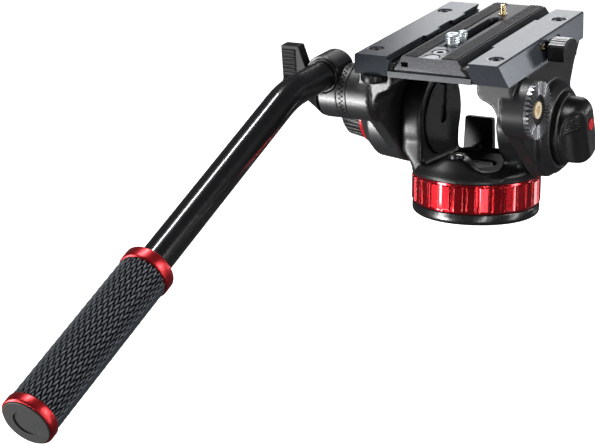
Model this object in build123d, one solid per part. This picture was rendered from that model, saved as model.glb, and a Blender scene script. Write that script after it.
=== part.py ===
from build123d import *
import math
import os

# Fluid video head with a flat base. Millimetres, +Z up.
# X runs along the tilt axis, +Y is the way the lens points, and the origin is
# the middle of the tripod thread's mouth in the base's underside.
# The tilting group is drawn level and then pitched to the photographed angle.

# Whole head
tilt_axis_height = 66
platform_pitch = 7
seat_gap = 0.3
running_gap = 0.06
half_circle = 180
cut_overrun = 2
soft_edge = 0.8

# Base cup, tripod thread and pan spindle
cup_foot_radius = 42
cup_radius = 44.6
cup_height = 8
cup_shoulder = 3.2
tripod_thread_radius = 4.76
tripod_bush_radius = 8
tripod_bush_length = 11
tripod_bush_lip_radius = 11
tripod_bush_lip = 1.6
base_screw_count = 3
base_screw_circle_radius = 24
base_screw_radius = 2.5
base_screw_head_radius = 4.2
base_screw_head = 2.6
base_screw_length = 14
hex_socket_radius = 1.7
hex_socket_depth = 1.6
spindle_radius = 9
spindle_nut_radius = 13
spindle_nut_height = 3.4
spindle_nut_sides = 6

# Pan drag unit and its red ring
drag_unit_radius = 37
drag_ring_radius = 45.1
drag_ring_height = 20.4
drag_ring_wall_radius = 44
drag_ring_lift = 0.2
drag_pad_count = 31
drag_pad_width = 6.6
drag_pad_inset = 1.7
thrust_washer_inner = 14
thrust_washer_outer = 34
thrust_washer_thickness = 0.4

ring_bottom = cup_height + drag_ring_lift
ring_top = ring_bottom + drag_ring_height
housing_bottom = ring_top + drag_ring_lift
unit_top = housing_bottom - thrust_washer_thickness

# Pan housing with its two arms
skirt_radius = 45.2
skirt_band = 2.2
skirt_shoulder_radius = 42.6
skirt_shoulder_height = 7.2
rim_radius = 41.2
rim_rise = 8.6
rim_height = housing_bottom + rim_rise
hollow_radius = 38
floor_thickness = 5.8
floor_height = housing_bottom + floor_thickness
nut_bottom = floor_height - spindle_nut_height
arm_inner = 28
arm_thickness = 17.4
arm_outer = arm_inner + arm_thickness
arm_disc_radius = 34
arm_neck_half = 31
arm_edge = 6
arm_flare_radii = (46.5, 49.5, 53.5, 56)
arm_flare_rises = (6.2, 11.2, 16.2, 22)
hump_half_width = 22.5
hump_rise = 8.8
hump_height = rim_height + hump_rise
hump_near = 42.5
hump_far = 23
hump_slope_radius = 37.6
hump_slope_rise = 14
deck_radius = 21
deck_centre = 45
crest_shares = (0, 0.125, 0.25, 0.5, 0.75, 0.875, 1)

# Bubble level on the near hump
level_radius = 5.6
level_wall = 1
level_height = 2.6
level_sunk = 1.6
level_place_y = 33.4
bubble_dome = 0.7

# Tilt bearings inside the arms
pocket_radius = 21.5
pocket_depth = 12.4
unit_clearance = 0.4
shaft_radius = 7
cover_radius = 27
cover_thickness = 1.6
cover_slot_width = 10.4
cover_slot_bottom = 5.5
cover_screw_count = 4
cover_screw_circle_radius = 24.4
cover_screw_radius = 1.2
cover_screw_length = 6

# Pan lock lever on the far side
pan_lock_x = 20
pan_lock_height = 33.6
pan_lock_hub_radius = 4.2
pan_lock_stem_radius = 2.5
pan_lock_stem_depth = 9
pan_lock_hub_near = 42.4
pan_lock_wing_width = 24
pan_lock_wing_height = 27.9
pan_lock_wing_drop = 4
pan_lock_wing_bottom = pan_lock_height - pan_lock_wing_drop
pan_lock_wing_top = pan_lock_wing_bottom + pan_lock_wing_height
pan_lock_wing_near = 45.7
pan_lock_wing_thickness = 5
pan_lock_wing_taper = 2.4
pan_lock_edge = 1.6

# Platform plate and rails
platform_rise = 48.2
rail_height = 15.8
platform_thickness = 4
platform_near = 78.1
platform_far = 67.5
rail_bottom = tilt_axis_height + platform_rise
rail_top = rail_bottom + rail_height
rail_near_setback = 6.4
rail_far_setback = 12
plate_top = rail_bottom + platform_thickness
plate_near_setback = 4.6
plate_far_setback = 9.6
tongue_half_width = 39
tongue_near = 58
tongue_far = 46
rail_inner_top = 27.9
rail_inner_bottom = 30.4
rail_outer_top = 51.9
rail_outer_bottom = 56.3
rail_notch_depth = 3
rail_notch_height = 3.2
rail_notch_reach = 3.4
rail_screw_inset = 13.3
rail_screw_x = rail_inner_bottom + rail_screw_inset
rail_screw_near = 62.3
rail_screw_far = 42.2
rail_screw_radius = 3
rail_screw_head_radius = 4.6
rail_screw_head = 2.6
rail_screw_length = 24
rail_screw_sink = 0.9
rail_dish_radius = 5.4
rail_socket_radius = 2.4
left_notch_shares = ((0.0, 0.375), (0.52, 0.665), (0.8, 1.0))
right_notch_shares = ((0.0, 0.29), (0.78, 1.0))
guide_thickness = 6.5
guide_end_setback = 1.2
guide_clearance = 0.12
gib_clearance = 0.08
gib_travel = 0.8

# Cheeks that carry the platform on the tilt axis
cheek_gap = 0.9
cheek_thickness = 9.7
cheek_inner = arm_outer + cheek_gap
cheek_outer = cheek_inner + cheek_thickness
cheek_disc_radius = 34
cheek_near = 67
cheek_near_round_turn = 227
cheek_near_turn = 217
cheek_far_top = 50.5
cheek_far_mid = 40
cheek_far_mid_drop = 12.5
cheek_far_low = 32.8
cheek_far_low_rise = 23
cheek_far_turn = 12
shoulder_inner = 31
shoulder_step_drop = 7.2
shoulder_mid_x = 36.5
shoulder_mid_drop = 12.6
shoulder_low_gap = 1.5
shoulder_low_drop = 24.2
shoulder_foot_rise = 16
upper_bow_shares = (0.3, 0.6)
lower_bow_shares = (0.71, 0.36)
shoulder_clear_radius = 42
shoulder_far_inner = 33.2
shoulder_far_start = 14
boss_root_radius = 36
boss_mid_radius = 31.4
right_boss_step = 4.4
right_boss_radius = 27.4
right_boss_reach = 4.2
right_boss_mid_x = cheek_outer + right_boss_step
right_boss_end = right_boss_mid_x + right_boss_reach
left_boss_mid_radius = 33
left_boss_step = 14
left_boss_mid_x = cheek_outer + left_boss_step
left_boss_radius = 25.6
left_boss_reach = 8.6
left_boss_end = left_boss_mid_x + left_boss_reach
cheek_screw_radius = 2
cheek_screw_head_radius = 3
cheek_screw_head = 2.2
cheek_screw_length = 11
cheek_screw_x = 35.6
cheek_screw_near = 50
cheek_screw_far = 32
end_drum_radius = 8.8
end_drum_height = 5.7
end_drum_ahead = 5.7
end_drum_foot_inset = 1.2
end_drum_foot_height = 1.3

# Rosettes for the pan bar
rosette_y = 50.9
rosette_drop = 19.8
rosette_height = rail_bottom - rosette_drop
rosette_reach = 13.2
rosette_face = cheek_outer + rosette_reach
rosette_radius = 19.2
rosette_inner_radius = 9.6
rosette_boss_root = 19.6
rosette_ring_thickness = 3.3
rosette_tooth_count = 36
rosette_tooth_height = 2.2
rosette_meet_gap = 0.15
rosette_flank_share = 0.98
insert_radius = 4.4
insert_flange_radius = 5.7
insert_flange = 1.6
insert_length = 13
insert_recess = 3
bar_thread_radius = 3

# Tilt lock knob on the right
lock_flange_radius = 24.2
lock_flange = 4.4
lock_recess = 1.4
lock_groove = 1.2
lock_stem_radius = 3.4
lock_stem_length = 9
lock_body_radius = 22.6
lock_body_length = 19.4
lock_body_end = right_boss_end + lock_body_length
lock_bar_half = 6.4
lock_scoop_radius = 17
lock_scoop_lift = 6
lock_scoop_floor = right_boss_end + lock_scoop_lift
lock_rib_count = 7
lock_rib = 0.6
lock_rib_pitch = 1.9
lock_rib_width = 0.9
lock_rib_top = 17.6
lock_bar_lean = 14
lock_cap_radius = 4
lock_cap = 1.2
lock_cap_height = 5.6
lock_cap_edge = 0.5
lock_edge = 8

# Tilt drag knob on the left
drag_red_radius = 24.4
drag_red = 3
drag_knob_root_radius = 23
drag_knob_end_radius = 20.4
drag_knob_length = 17.2
drag_knob_rib_count = 36
drag_knob_rib = 0.9
drag_knob_edge = 2.6
drag_knob_groove_lift = 0.2
drag_index_radius = 2.6
drag_index_height = 12
drag_index = 0.6

# Plate lock lever, gib and release button on the right rail
lever_pivot_inset = 6.9
lever_pivot_x = rail_outer_bottom - lever_pivot_inset
lever_pivot_y = 14
lever_pivot_radius = 6.4
lever_pin_radius = 2
lever_lift = 1.6
lever_height = 10.2
lever_bottom = rail_bottom + lever_lift
lever_top = lever_bottom + lever_height
lever_gap = 0.9
lever_thickness = 11.2
lever_inner = rail_outer_bottom + lever_gap
lever_outer = lever_inner + lever_thickness
lever_tip = 12
lever_link = 10
lever_heel_start = 3.6
lever_heel = 6.25
lever_heel_reach = 14.6
lever_corner = 5
lever_tip_edge = 2
gib_stem_radius = 2.1
lever_rib_count = 6
lever_rib = 0.6
button_y = 10
button_drop = 5.2
button_height = rail_top - button_drop
button_radius = 2.2
button_collar_radius = 3.4
button_collar = 1.4
button_proud = 2
button_length = 6.5
button_depth = 6.5

# Sliding plate
slide_length = 146.5
slide_near = 71.6
slide_thickness = 11
slide_top = plate_top + slide_thickness
slide_bottom_gap = 0.1
slide_side_gap = 4.1
slide_flank = 6.5
slide_bottom_half = rail_inner_bottom - slide_side_gap
slide_top_half = slide_bottom_half - slide_flank
slide_foot = 1.8
pad_thickness = 1
pad_rib_pitch = 2
pad_rib_width = 1.1
pad_rib_height = 0.35
pad_outer_inset = 1.2
slot_half_width = 4.9
slot_near = 43
slot_far = 38
channel_half_width = 9.4
channel_height = 4.7
slot_corner_share = 0.96
strip_overlap = 1
strip_half_width = 8.4
strip_thickness = 0.5
name_hole_radius = 2.2
notch_x = 18.3
notch_width = 5
notch_height = 3.2
notch_depth = 4
large_stud_radius = 4.76
large_shank_radius = 4
large_stud_head_radius = 8.2
large_stud_y = 35.6
small_stud_radius = 3.175
small_shank_radius = 2.6
small_stud_head_radius = 7
small_stud_y = 19.7
stud_head = 3.4
large_stud_above = 7.4
small_stud_above = 5.2
clip_thickness = 0.6
clip_half_width = 8.8
clip_half_length = 7
video_pin_radius = 2.1
video_pin_above = 7
video_pin_y = 46
video_pin_base = 3.2
video_pin_root_radius = 1.6
video_pin_flange_radius = 3.1
video_pin_flange = 0.8

# Pan bar with its clamp and grip
bar_offset = 14.8
bar_plane = rosette_face + bar_offset
socket_rise = 14.2
socket_axis_height = rosette_height + socket_rise
socket_radius = 13.4
socket_near = 66
socket_far = 43.4
socket_edge = 3
clamp_cover = 3
clamp_body_end = bar_plane + clamp_cover
clamp_cone_root = 18.6
clamp_cone_tip = 9.8
clamp_cone_length = 16.4
clamp_cone_end = clamp_body_end + clamp_cone_length
clamp_groove = 2
clamp_groove_depth = 2
bolt_shank_radius = 2.68
bolt_hole_radius = 3.1
collar_radius = 11.8
collar_length = 2.6
tube_radius = 10.3
tube_wall = 1.6
tube_inside_socket = 15
bar_bend_y = 113.4
bar_bend_radius = 80
bar_drop_angle = 18.9
bar_length = 314
grip_radius = 16
ring_radius = 16.8
upper_ring_length = 9
lower_ring_length = 7
grip_group_length = 134
end_cap_radius = 15.4
end_cap_thickness = 5
end_cap_dish_radius = 8.4
end_cap_dish = 0.9
end_cap_proud = 0.8
end_cap_edge = 0.5
wing_top = 29.6
wing_thickness = 8
wing_hub_radius = 8.6
wing_gap = 0.4
wing_hub_start = clamp_cone_end + wing_gap
wing_length = 19.2
wing_outer = wing_hub_start + wing_length
wing_pad_width = 11
wing_pad_low = 3
wing_pad_top = 27
wing_top_step = 5.2
wing_low_step = 0.4
wing_shoulder = 15
wing_bolt_cover = 4.2
wing_rib_count = 9
wing_rib = 0.7
wing_edge = 1.4


def block(x_from, x_to, y_from, y_to, z_from, z_to):
    size = Box(abs(x_to - x_from), abs(y_to - y_from), abs(z_to - z_from))
    return Pos((x_from + x_to) / 2, (y_from + y_to) / 2, (z_from + z_to) / 2) * size


def rod_z(radius, x, y, z_from, z_to):
    base = Plane(origin=(x, y, min(z_from, z_to)), z_dir=(0, 0, 1))
    return Solid.make_cylinder(radius, abs(z_to - z_from), base)


def rod_x(radius, x_from, x_to, y=0, z=tilt_axis_height):
    base = Plane(origin=(min(x_from, x_to), y, z), x_dir=(0, 1, 0), z_dir=(1, 0, 0))
    return Solid.make_cylinder(radius, abs(x_to - x_from), base)


def rod_y(radius, x, y_from, y_to, z):
    base = Plane(origin=(x, min(y_from, y_to), z), x_dir=(1, 0, 0), z_dir=(0, 1, 0))
    return Solid.make_cylinder(radius, abs(y_to - y_from), base)


def lathe_z(points):
    """Turns a closed outline of (radius, height) points about the pan axis."""
    return revolve(Plane.XZ * make_face(Polyline(*points, close=True)), Axis.Z)


def lathe_x(points, y=0, z=tilt_axis_height):
    """Turns a closed outline of (x, radius) points about a line along X."""
    turned = revolve(make_face(Polyline(*points, close=True)), Axis.X)
    return Pos(0, y, z) * turned


def slab_x(points, x_from, x_to):
    """Extrudes a closed outline of (y, z) points along X."""
    face = make_face(Polyline(*points, close=True))
    return Pos(min(x_from, x_to), 0, 0) * (Plane.YZ * extrude(face, abs(x_to - x_from)))


def slab_y(points, y_from, y_to):
    """Extrudes a closed outline of (x, z) points along Y."""
    face = make_face(Polyline(*points, close=True))
    back = Plane(origin=(0, max(y_from, y_to), 0), x_dir=(1, 0, 0), z_dir=(0, -1, 0))
    return back * extrude(face, abs(y_to - y_from))


def around_z(shape, count):
    return [shape.rotate(Axis.Z, 360 * turn / count) for turn in range(count)]


def around_x(shape, count, y=0, z=tilt_axis_height):
    axis = Axis((0, y, z), (1, 0, 0))
    return [shape.rotate(axis, 360 * turn / count) for turn in range(count)]


def mirrored(shape):
    return mirror(shape, about=Plane.YZ)


def save(shape, name, pitched=False):
    """Writes one node; a pitched node belongs to the group above the tilt axis."""
    if pitched:
        shape = shape.rotate(Axis((0, 0, tilt_axis_height), (1, 0, 0)), platform_pitch)
    solids = shape.solids()
    shape = solids[0] if len(solids) == 1 else Compound(children=solids)
    export_step(shape, os.path.join("parts", name + ".step"))


def grouped(shapes):
    return Compound(children=[solid for shape in shapes for solid in shape.solids()])


# Base, pan drag ring and spindle


def base_cup():
    spindle_hole = spindle_radius
    body = lathe_z(
        [
            (tripod_bush_radius, 0),
            (cup_foot_radius, 0),
            (cup_radius - soft_edge / 2, cup_shoulder / 2),
            (cup_radius, cup_shoulder),
            (cup_radius, cup_height),
            (spindle_hole, cup_height),
            (spindle_hole, tripod_bush_length),
            (tripod_bush_radius, tripod_bush_length),
        ]
    )
    body -= rod_z(tripod_bush_lip_radius, 0, 0, -cut_overrun, tripod_bush_lip)
    hole = rod_z(base_screw_radius, base_screw_circle_radius, 0, -cut_overrun, cup_height + cut_overrun)
    hole += rod_z(base_screw_head_radius, base_screw_circle_radius, 0, -cut_overrun, base_screw_head)
    for cut in around_z(hole, base_screw_count):
        body -= cut
    return body


def tripod_bush():
    body = rod_z(tripod_bush_radius, 0, 0, 0, tripod_bush_length)
    body += rod_z(tripod_bush_lip_radius, 0, 0, 0, tripod_bush_lip)
    return body - rod_z(tripod_thread_radius, 0, 0, -cut_overrun, tripod_bush_length + cut_overrun)


def base_screws():
    screw = rod_z(base_screw_radius, base_screw_circle_radius, 0, 0, base_screw_length)
    screw += rod_z(base_screw_head_radius, base_screw_circle_radius, 0, 0, base_screw_head)
    screw -= rod_z(hex_socket_radius, base_screw_circle_radius, 0, -cut_overrun, hex_socket_depth)
    return grouped(around_z(screw, base_screw_count))


def pan_drag_unit():
    body = rod_z(drag_unit_radius, 0, 0, cup_height, unit_top)
    body -= rod_z(spindle_radius, 0, 0, cup_height - cut_overrun, unit_top + cut_overrun)
    hole_low = cup_height - cut_overrun
    hole = rod_z(base_screw_radius, base_screw_circle_radius, 0, hole_low, base_screw_length)
    for cut in around_z(hole, base_screw_count):
        body -= cut
    return body


def pan_spindle():
    body = rod_z(spindle_radius, 0, 0, tripod_bush_length, floor_height - soft_edge)
    return body


def pan_nut():
    flats = extrude(RegularPolygon(spindle_nut_radius, spindle_nut_sides), spindle_nut_height - soft_edge)
    body = Pos(0, 0, nut_bottom) * flats
    return body - rod_z(spindle_radius, 0, 0, nut_bottom - cut_overrun, floor_height)


def thrust_washer():
    body = rod_z(thrust_washer_outer, 0, 0, unit_top, housing_bottom)
    return body - rod_z(thrust_washer_inner, 0, 0, unit_top - cut_overrun, housing_bottom + cut_overrun)


def pan_drag_ring():
    body = rod_z(drag_ring_wall_radius, 0, 0, ring_bottom, ring_top)
    pad_reach = drag_ring_radius - drag_unit_radius
    pad = block(
        drag_ring_radius - pad_reach / 2,
        drag_ring_radius,
        -drag_pad_width / 2,
        drag_pad_width / 2,
        ring_bottom + drag_pad_inset,
        ring_top - drag_pad_inset,
    )
    pad = chamfer(pad.edges().filter_by(Axis.Z).group_by(Axis.X)[-1], soft_edge)
    pad = chamfer(pad.faces().sort_by(Axis.X)[-1].edges().filter_by(Axis.Y), soft_edge / 2)
    for each in around_z(pad, drag_pad_count):
        body += each
    bore = drag_unit_radius + running_gap
    return body - rod_z(bore, 0, 0, ring_bottom - cut_overrun, ring_top + cut_overrun)


# Pan housing and what it carries


def pan_housing():
    skirt_top = housing_bottom + skirt_shoulder_height
    body = lathe_z(
        [
            (0, housing_bottom),
            (skirt_radius, housing_bottom),
            (skirt_radius, housing_bottom + skirt_band),
            (skirt_shoulder_radius, skirt_top),
            (rim_radius, rim_height),
            (0, rim_height),
        ]
    )
    body -= rod_z(hollow_radius, 0, 0, floor_height, rim_height + cut_overrun)
    body += near_hump()
    for side in (-1, 1):
        body += housing_arm(side)
        body -= rod_x(pocket_radius, side * (arm_inner - cut_overrun), side * (arm_inner + pocket_depth))
        body -= rod_x(shaft_radius + running_gap, side * arm_inner, side * (arm_outer + cut_overrun))
        for hole in cover_screw_holes(side):
            body -= hole
    spindle_room = spindle_radius + running_gap
    body -= rod_z(spindle_room, 0, 0, housing_bottom - cut_overrun, floor_height + cut_overrun)
    nut_room = spindle_nut_radius + unit_clearance
    body -= rod_z(nut_room, 0, 0, nut_bottom, floor_height + cut_overrun)
    body -= level_seat()
    stem = pan_lock_stem_radius + running_gap
    stem_end = pan_lock_hub_near - pan_lock_stem_depth
    body -= rod_y(stem, -pan_lock_x, stem_end, skirt_radius + cut_overrun, pan_lock_height)
    return body


def housing_arm(side):
    """An arm: a disc on the tilt axis with a neck, which flares out of the round skirt."""
    low = housing_bottom + skirt_band
    disc = rod_x(arm_disc_radius, side * arm_inner, side * arm_outer)
    neck = block(side * arm_inner, side * arm_outer, -arm_neck_half, arm_neck_half, low, tilt_axis_height)
    room = block(side * arm_inner, side * arm_outer, -arm_disc_radius, arm_disc_radius, low, rail_bottom)
    slab = (disc + neck) & room
    outer_face = slab.faces().filter_by(Axis.X).sort_by(Axis.X)[-1 if side > 0 else 0]
    slab = fillet(outer_face.edges().sort_by(Axis.Z)[1:], arm_edge)
    top = tilt_axis_height + arm_disc_radius
    flare = [(radius, housing_bottom + rise) for radius, rise in zip(arm_flare_radii, arm_flare_rises)]
    envelope = lathe_z([(0, low), (skirt_radius, low), *flare, (arm_flare_radii[-1], top), (0, top)])
    return slab & envelope


def crest_point(share):
    """A point on the wave's top line, by its share of the way from the left end."""
    rise = (1 - math.cos(2 * math.pi * share)) / 2
    return (hump_half_width * (2 * share - 1), rim_height + hump_rise * rise)


def near_hump():
    """The wave in the housing's near rim, with a round deck behind its crest."""
    left_end, left_low, left_mid, top, right_mid, right_low, right_end = (
        crest_point(share) for share in crest_shares
    )
    bottom = floor_height - skirt_band
    edges = [
        ThreePointArc(left_end, left_low, left_mid),
        ThreePointArc(left_mid, top, right_mid),
        ThreePointArc(right_mid, right_low, right_end),
        Line(right_end, (hump_half_width, bottom)),
        Line((hump_half_width, bottom), (-hump_half_width, bottom)),
        Line((-hump_half_width, bottom), left_end),
    ]
    near = Plane(origin=(0, -hump_far, 0), x_dir=(1, 0, 0), z_dir=(0, -1, 0))
    wave = near * extrude(make_face(edges), hump_near - hump_far)
    shoulder = housing_bottom + skirt_shoulder_height
    peak = shoulder + hump_slope_rise
    slope = lathe_z(
        [
            (0, bottom),
            (skirt_shoulder_radius, bottom),
            (skirt_shoulder_radius, shoulder),
            (hump_slope_radius, peak),
            (0, peak),
        ]
    )
    return wave & slope & rod_z(deck_radius, 0, -deck_centre, bottom, peak)


def level_plane():
    return Pos(0, -level_place_y, hump_height - level_sunk)


def level_seat():
    return level_plane() * Pos(0, 0, level_height / 2) * Cylinder(level_radius, level_height)


def level_bezel():
    bore = Cylinder(level_radius - level_wall, level_height + cut_overrun)
    ring = Cylinder(level_radius, level_height) - bore
    ring = Pos(0, 0, level_height / 2) * ring
    bottom = level_wall / 2
    base = Pos(0, 0, bottom / 2) * Cylinder(level_radius - bottom, bottom)
    return level_plane() * (ring + base)


def level_vial():
    radius = level_radius - level_wall
    rise = level_height - level_wall / 2 - bubble_dome / 2
    sphere_radius = (radius**2 + bubble_dome**2) / (2 * bubble_dome)
    body = Pos(0, 0, level_wall / 2 + rise / 2) * Cylinder(radius, rise)
    dome = Pos(0, 0, level_wall / 2 + rise + bubble_dome - sphere_radius) * Sphere(sphere_radius)
    cap = dome & (Pos(0, 0, level_wall / 2 + rise + bubble_dome / 2) * Cylinder(radius, bubble_dome))
    return level_plane() * (body + cap)


def cover_screw_holes(side):
    start = arm_inner - cover_thickness
    height = tilt_axis_height + cover_screw_circle_radius
    screw = rod_x(cover_screw_radius, side * start, side * (start + cover_screw_length), 0, height)
    lean = 360 / cover_screw_count / 2
    screw = screw.rotate(Axis((0, 0, tilt_axis_height), (1, 0, 0)), lean)
    return around_x(screw, cover_screw_count)


def arm_cover(side, slotted):
    body = rod_x(cover_radius, side * (arm_inner - cover_thickness), side * arm_inner)
    if slotted:
        half = cover_slot_width / 2
        slot_low = tilt_axis_height - cover_slot_bottom + half
        slot_high = tilt_axis_height + cover_radius + cut_overrun
        reach = (side * (arm_inner - 2 * cut_overrun), side * (arm_inner + cut_overrun))
        body -= block(*reach, -half, half, slot_low, slot_high)
        body -= rod_x(half, *reach, 0, slot_low)
    for hole in cover_screw_holes(side):
        body -= hole
    below = block(0, side * arm_inner, -cover_radius, cover_radius, 0, rim_height + seat_gap)
    return body - below


def arm_cover_screws():
    return grouped(cover_screw_holes(-1) + cover_screw_holes(1))


def tilt_unit(side):
    """Drag cartridge or counterbalance unit in an arm's pocket, with the shaft's bore."""
    start = arm_inner + unit_clearance / 2
    end = arm_inner + pocket_depth
    body = rod_x(pocket_radius, side * start, side * end)
    return body - rod_x(shaft_radius + running_gap, side * (start - cut_overrun), side * (end + cut_overrun))


def pan_lock_stem():
    near = pan_lock_hub_near - pan_lock_stem_depth
    stem_reach = (near + seat_gap, pan_lock_wing_near)
    hub_reach = (pan_lock_hub_near, pan_lock_wing_near)
    body = rod_y(pan_lock_stem_radius, -pan_lock_x, *stem_reach, pan_lock_height)
    return body + rod_y(pan_lock_hub_radius, -pan_lock_x, *hub_reach, pan_lock_height)


def pan_lock_lever():
    half = pan_lock_wing_width / 2
    top_half = half - pan_lock_wing_taper / 2
    outline = [
        (-pan_lock_x - half, pan_lock_wing_bottom),
        (-pan_lock_x + half, pan_lock_wing_bottom),
        (-pan_lock_x + top_half, pan_lock_wing_top),
        (-pan_lock_x - top_half, pan_lock_wing_top),
    ]
    far = pan_lock_wing_near + pan_lock_wing_thickness
    wing = slab_y(outline, pan_lock_wing_near, far)
    wing = fillet(wing.edges().filter_by(Axis.Y), pan_lock_edge)
    wing = chamfer(wing.faces().sort_by(Axis.Y)[-1].edges(), soft_edge)
    return wing + pan_lock_stem()


# Tilt body: shafts, cheeks, platform


def tilt_shaft(side):
    start = arm_inner + seat_gap
    stem = lock_stem_radius + running_gap
    body = rod_x(shaft_radius, side * start, side * cheek_outer)
    return body - rod_x(stem, side * (cheek_outer - lock_stem_length), side * (cheek_outer + cut_overrun))


def disc_point(turn):
    """A point on the cheek's disc, by its turn from the far side."""
    angle = math.radians(turn)
    return (cheek_disc_radius * math.cos(angle), tilt_axis_height + cheek_disc_radius * math.sin(angle))


def near_round_point(turn):
    """A point on the round near edge about the rosette's axis."""
    radius = cheek_near - rosette_y
    angle = math.radians(turn)
    return (-rosette_y + radius * math.cos(angle), rosette_height + radius * math.sin(angle))


def cheek_outline():
    """Side view of a cheek: a disc on the tilt axis that widens up to the rail."""
    near_top = (-cheek_near, rail_bottom)
    near_side = (-cheek_near, rosette_height)
    near_mid = near_round_point((half_circle + cheek_near_round_turn) / 2)
    near_end = near_round_point(cheek_near_round_turn)
    near_low = disc_point(cheek_near_turn)
    bottom = (0, tilt_axis_height - cheek_disc_radius)
    far_disc = disc_point(cheek_far_turn)
    far_low = (cheek_far_low, tilt_axis_height + cheek_far_low_rise)
    far_mid = (cheek_far_mid, rail_bottom - cheek_far_mid_drop)
    far_top = (cheek_far_top, rail_bottom)
    return [
        Line(near_top, near_side),
        ThreePointArc(near_side, near_mid, near_end),
        Line(near_end, near_low),
        ThreePointArc(near_low, bottom, far_disc),
        Line(far_disc, far_low),
        Line(far_low, far_mid),
        Line(far_mid, far_top),
        Line(far_top, near_top),
    ]


def bow(start, end, shares):
    """An arc between two points of a section, through a point at shares of the way."""
    across, up = (a + (b - a) * share for a, b, share in zip(start, end, shares))
    return ThreePointArc(start, (across, up), end)


def cheek_section():
    """Section of the right cheek across the tilt axis: an upright wall with a shoulder."""
    bottom = tilt_axis_height - cheek_disc_radius
    top_inner = (shoulder_inner, rail_bottom)
    step = (shoulder_inner, rail_bottom - shoulder_step_drop)
    mid = (shoulder_mid_x, rail_bottom - shoulder_mid_drop)
    low = (cheek_inner - shoulder_low_gap, rail_bottom - shoulder_low_drop)
    foot = (cheek_inner, tilt_axis_height + shoulder_foot_rise)
    return [
        Line(top_inner, (cheek_outer, rail_bottom)),
        Line((cheek_outer, rail_bottom), (cheek_outer, bottom)),
        Line((cheek_outer, bottom), (cheek_inner, bottom)),
        Line((cheek_inner, bottom), foot),
        Line(foot, low),
        bow(mid, low, lower_bow_shares),
        bow(step, mid, upper_bow_shares),
        Line(step, top_inner),
    ]


def cheek_bosses(side):
    root = cheek_inner + cut_overrun
    if side > 0:
        cone = [
            (root, 0),
            (root, boss_root_radius - soft_edge),
            (right_boss_mid_x, boss_mid_radius),
            (right_boss_end, right_boss_radius),
            (right_boss_end, 0),
        ]
    else:
        cone = [
            (-root, 0),
            (-root, boss_root_radius - soft_edge),
            (-left_boss_mid_x, left_boss_mid_radius),
            (-left_boss_end, left_boss_radius),
            (-left_boss_end, 0),
        ]
    tilt_boss = lathe_x(cone)
    ring_root = rosette_face - rosette_ring_thickness
    rosette_boss = lathe_x(
        [
            (side * root, 0),
            (side * root, rosette_boss_root),
            (side * ring_root, rosette_radius),
            (side * ring_root, 0),
        ],
        -rosette_y,
        rosette_height,
    )
    top = rail_bottom
    under_rail = block(0, side * rosette_face, -rosette_y * 2, rosette_y, 0, top)
    return tilt_boss + (rosette_boss & under_rail)


def cheek(side):
    section = Plane(origin=(0, cheek_far_top, 0), x_dir=(1, 0, 0), z_dir=(0, -1, 0))
    body = section * extrude(make_face(cheek_section()), cheek_near + cheek_far_top)
    body = body & (Plane.YZ * extrude(make_face(cheek_outline()), cheek_outer))
    body -= block(0, shoulder_far_inner, shoulder_far_start, cheek_far_top, 0, rail_bottom)
    body = body if side > 0 else mirrored(body)
    body += cheek_bosses(side)
    body -= rod_x(shoulder_clear_radius, 0, side * cheek_inner)
    body -= rod_x(shaft_radius, side * (cheek_inner - cut_overrun), side * cheek_outer)
    end = right_boss_end if side > 0 else left_boss_end
    stem_room = lock_stem_radius + running_gap
    body -= rod_x(stem_room, side * (cheek_outer - cut_overrun), side * (end + cut_overrun))
    if side > 0:
        recess = lock_flange_radius + lock_groove
        body -= rod_x(recess, end - lock_recess, end + cut_overrun)
    else:
        body -= end_drum_room()
    ring_root = rosette_face - rosette_ring_thickness
    deep = rosette_face - insert_recess - insert_length
    body -= rod_x(insert_radius, side * deep, side * (ring_root + cut_overrun), -rosette_y, rosette_height)
    for hole in cheek_screw_bodies(side) + rail_screw_bodies(side):
        body -= hole
    return body


def cheek_screw_bodies(side):
    screws = []
    for y in (-cheek_screw_near, cheek_screw_far):
        top = plate_top - seat_gap
        screw = rod_z(cheek_screw_radius, side * cheek_screw_x, y, top - cheek_screw_length, top)
        screw += rod_z(cheek_screw_head_radius, side * cheek_screw_x, y, top - cheek_screw_head, top)
        screws.append(screw)
    return screws


def cheek_screws():
    screws = []
    for side in (-1, 1):
        for screw, y in zip(cheek_screw_bodies(side), (-cheek_screw_near, cheek_screw_far)):
            top = plate_top - seat_gap
            socket_reach = (top - hex_socket_depth, top + cut_overrun)
            socket = rod_z(hex_socket_radius, side * cheek_screw_x, y, *socket_reach)
            screws.append(screw - socket)
    return grouped(screws)


def end_drum_room():
    """The round pocket in the left cheek's near top corner."""
    y = -rail_screw_near - end_drum_ahead
    return rod_z(end_drum_radius + seat_gap, -rail_screw_x, y, rail_bottom - end_drum_height, rail_top)


def left_end_block():
    """Dark drum between left rail and cheek, with the rail's near screw through it."""
    y = -rail_screw_near - end_drum_ahead
    low = rail_bottom - end_drum_height
    foot_top = low + end_drum_foot_height
    body = rod_z(end_drum_radius, -rail_screw_x, y, foot_top, rail_bottom)
    body = chamfer(body.edges().filter_by(GeomType.CIRCLE), soft_edge / 2)
    body += rod_z(end_drum_radius - end_drum_foot_inset, -rail_screw_x, y, low, foot_top)
    for hole in rail_screw_bodies(-1):
        body -= hole
    return body


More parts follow.
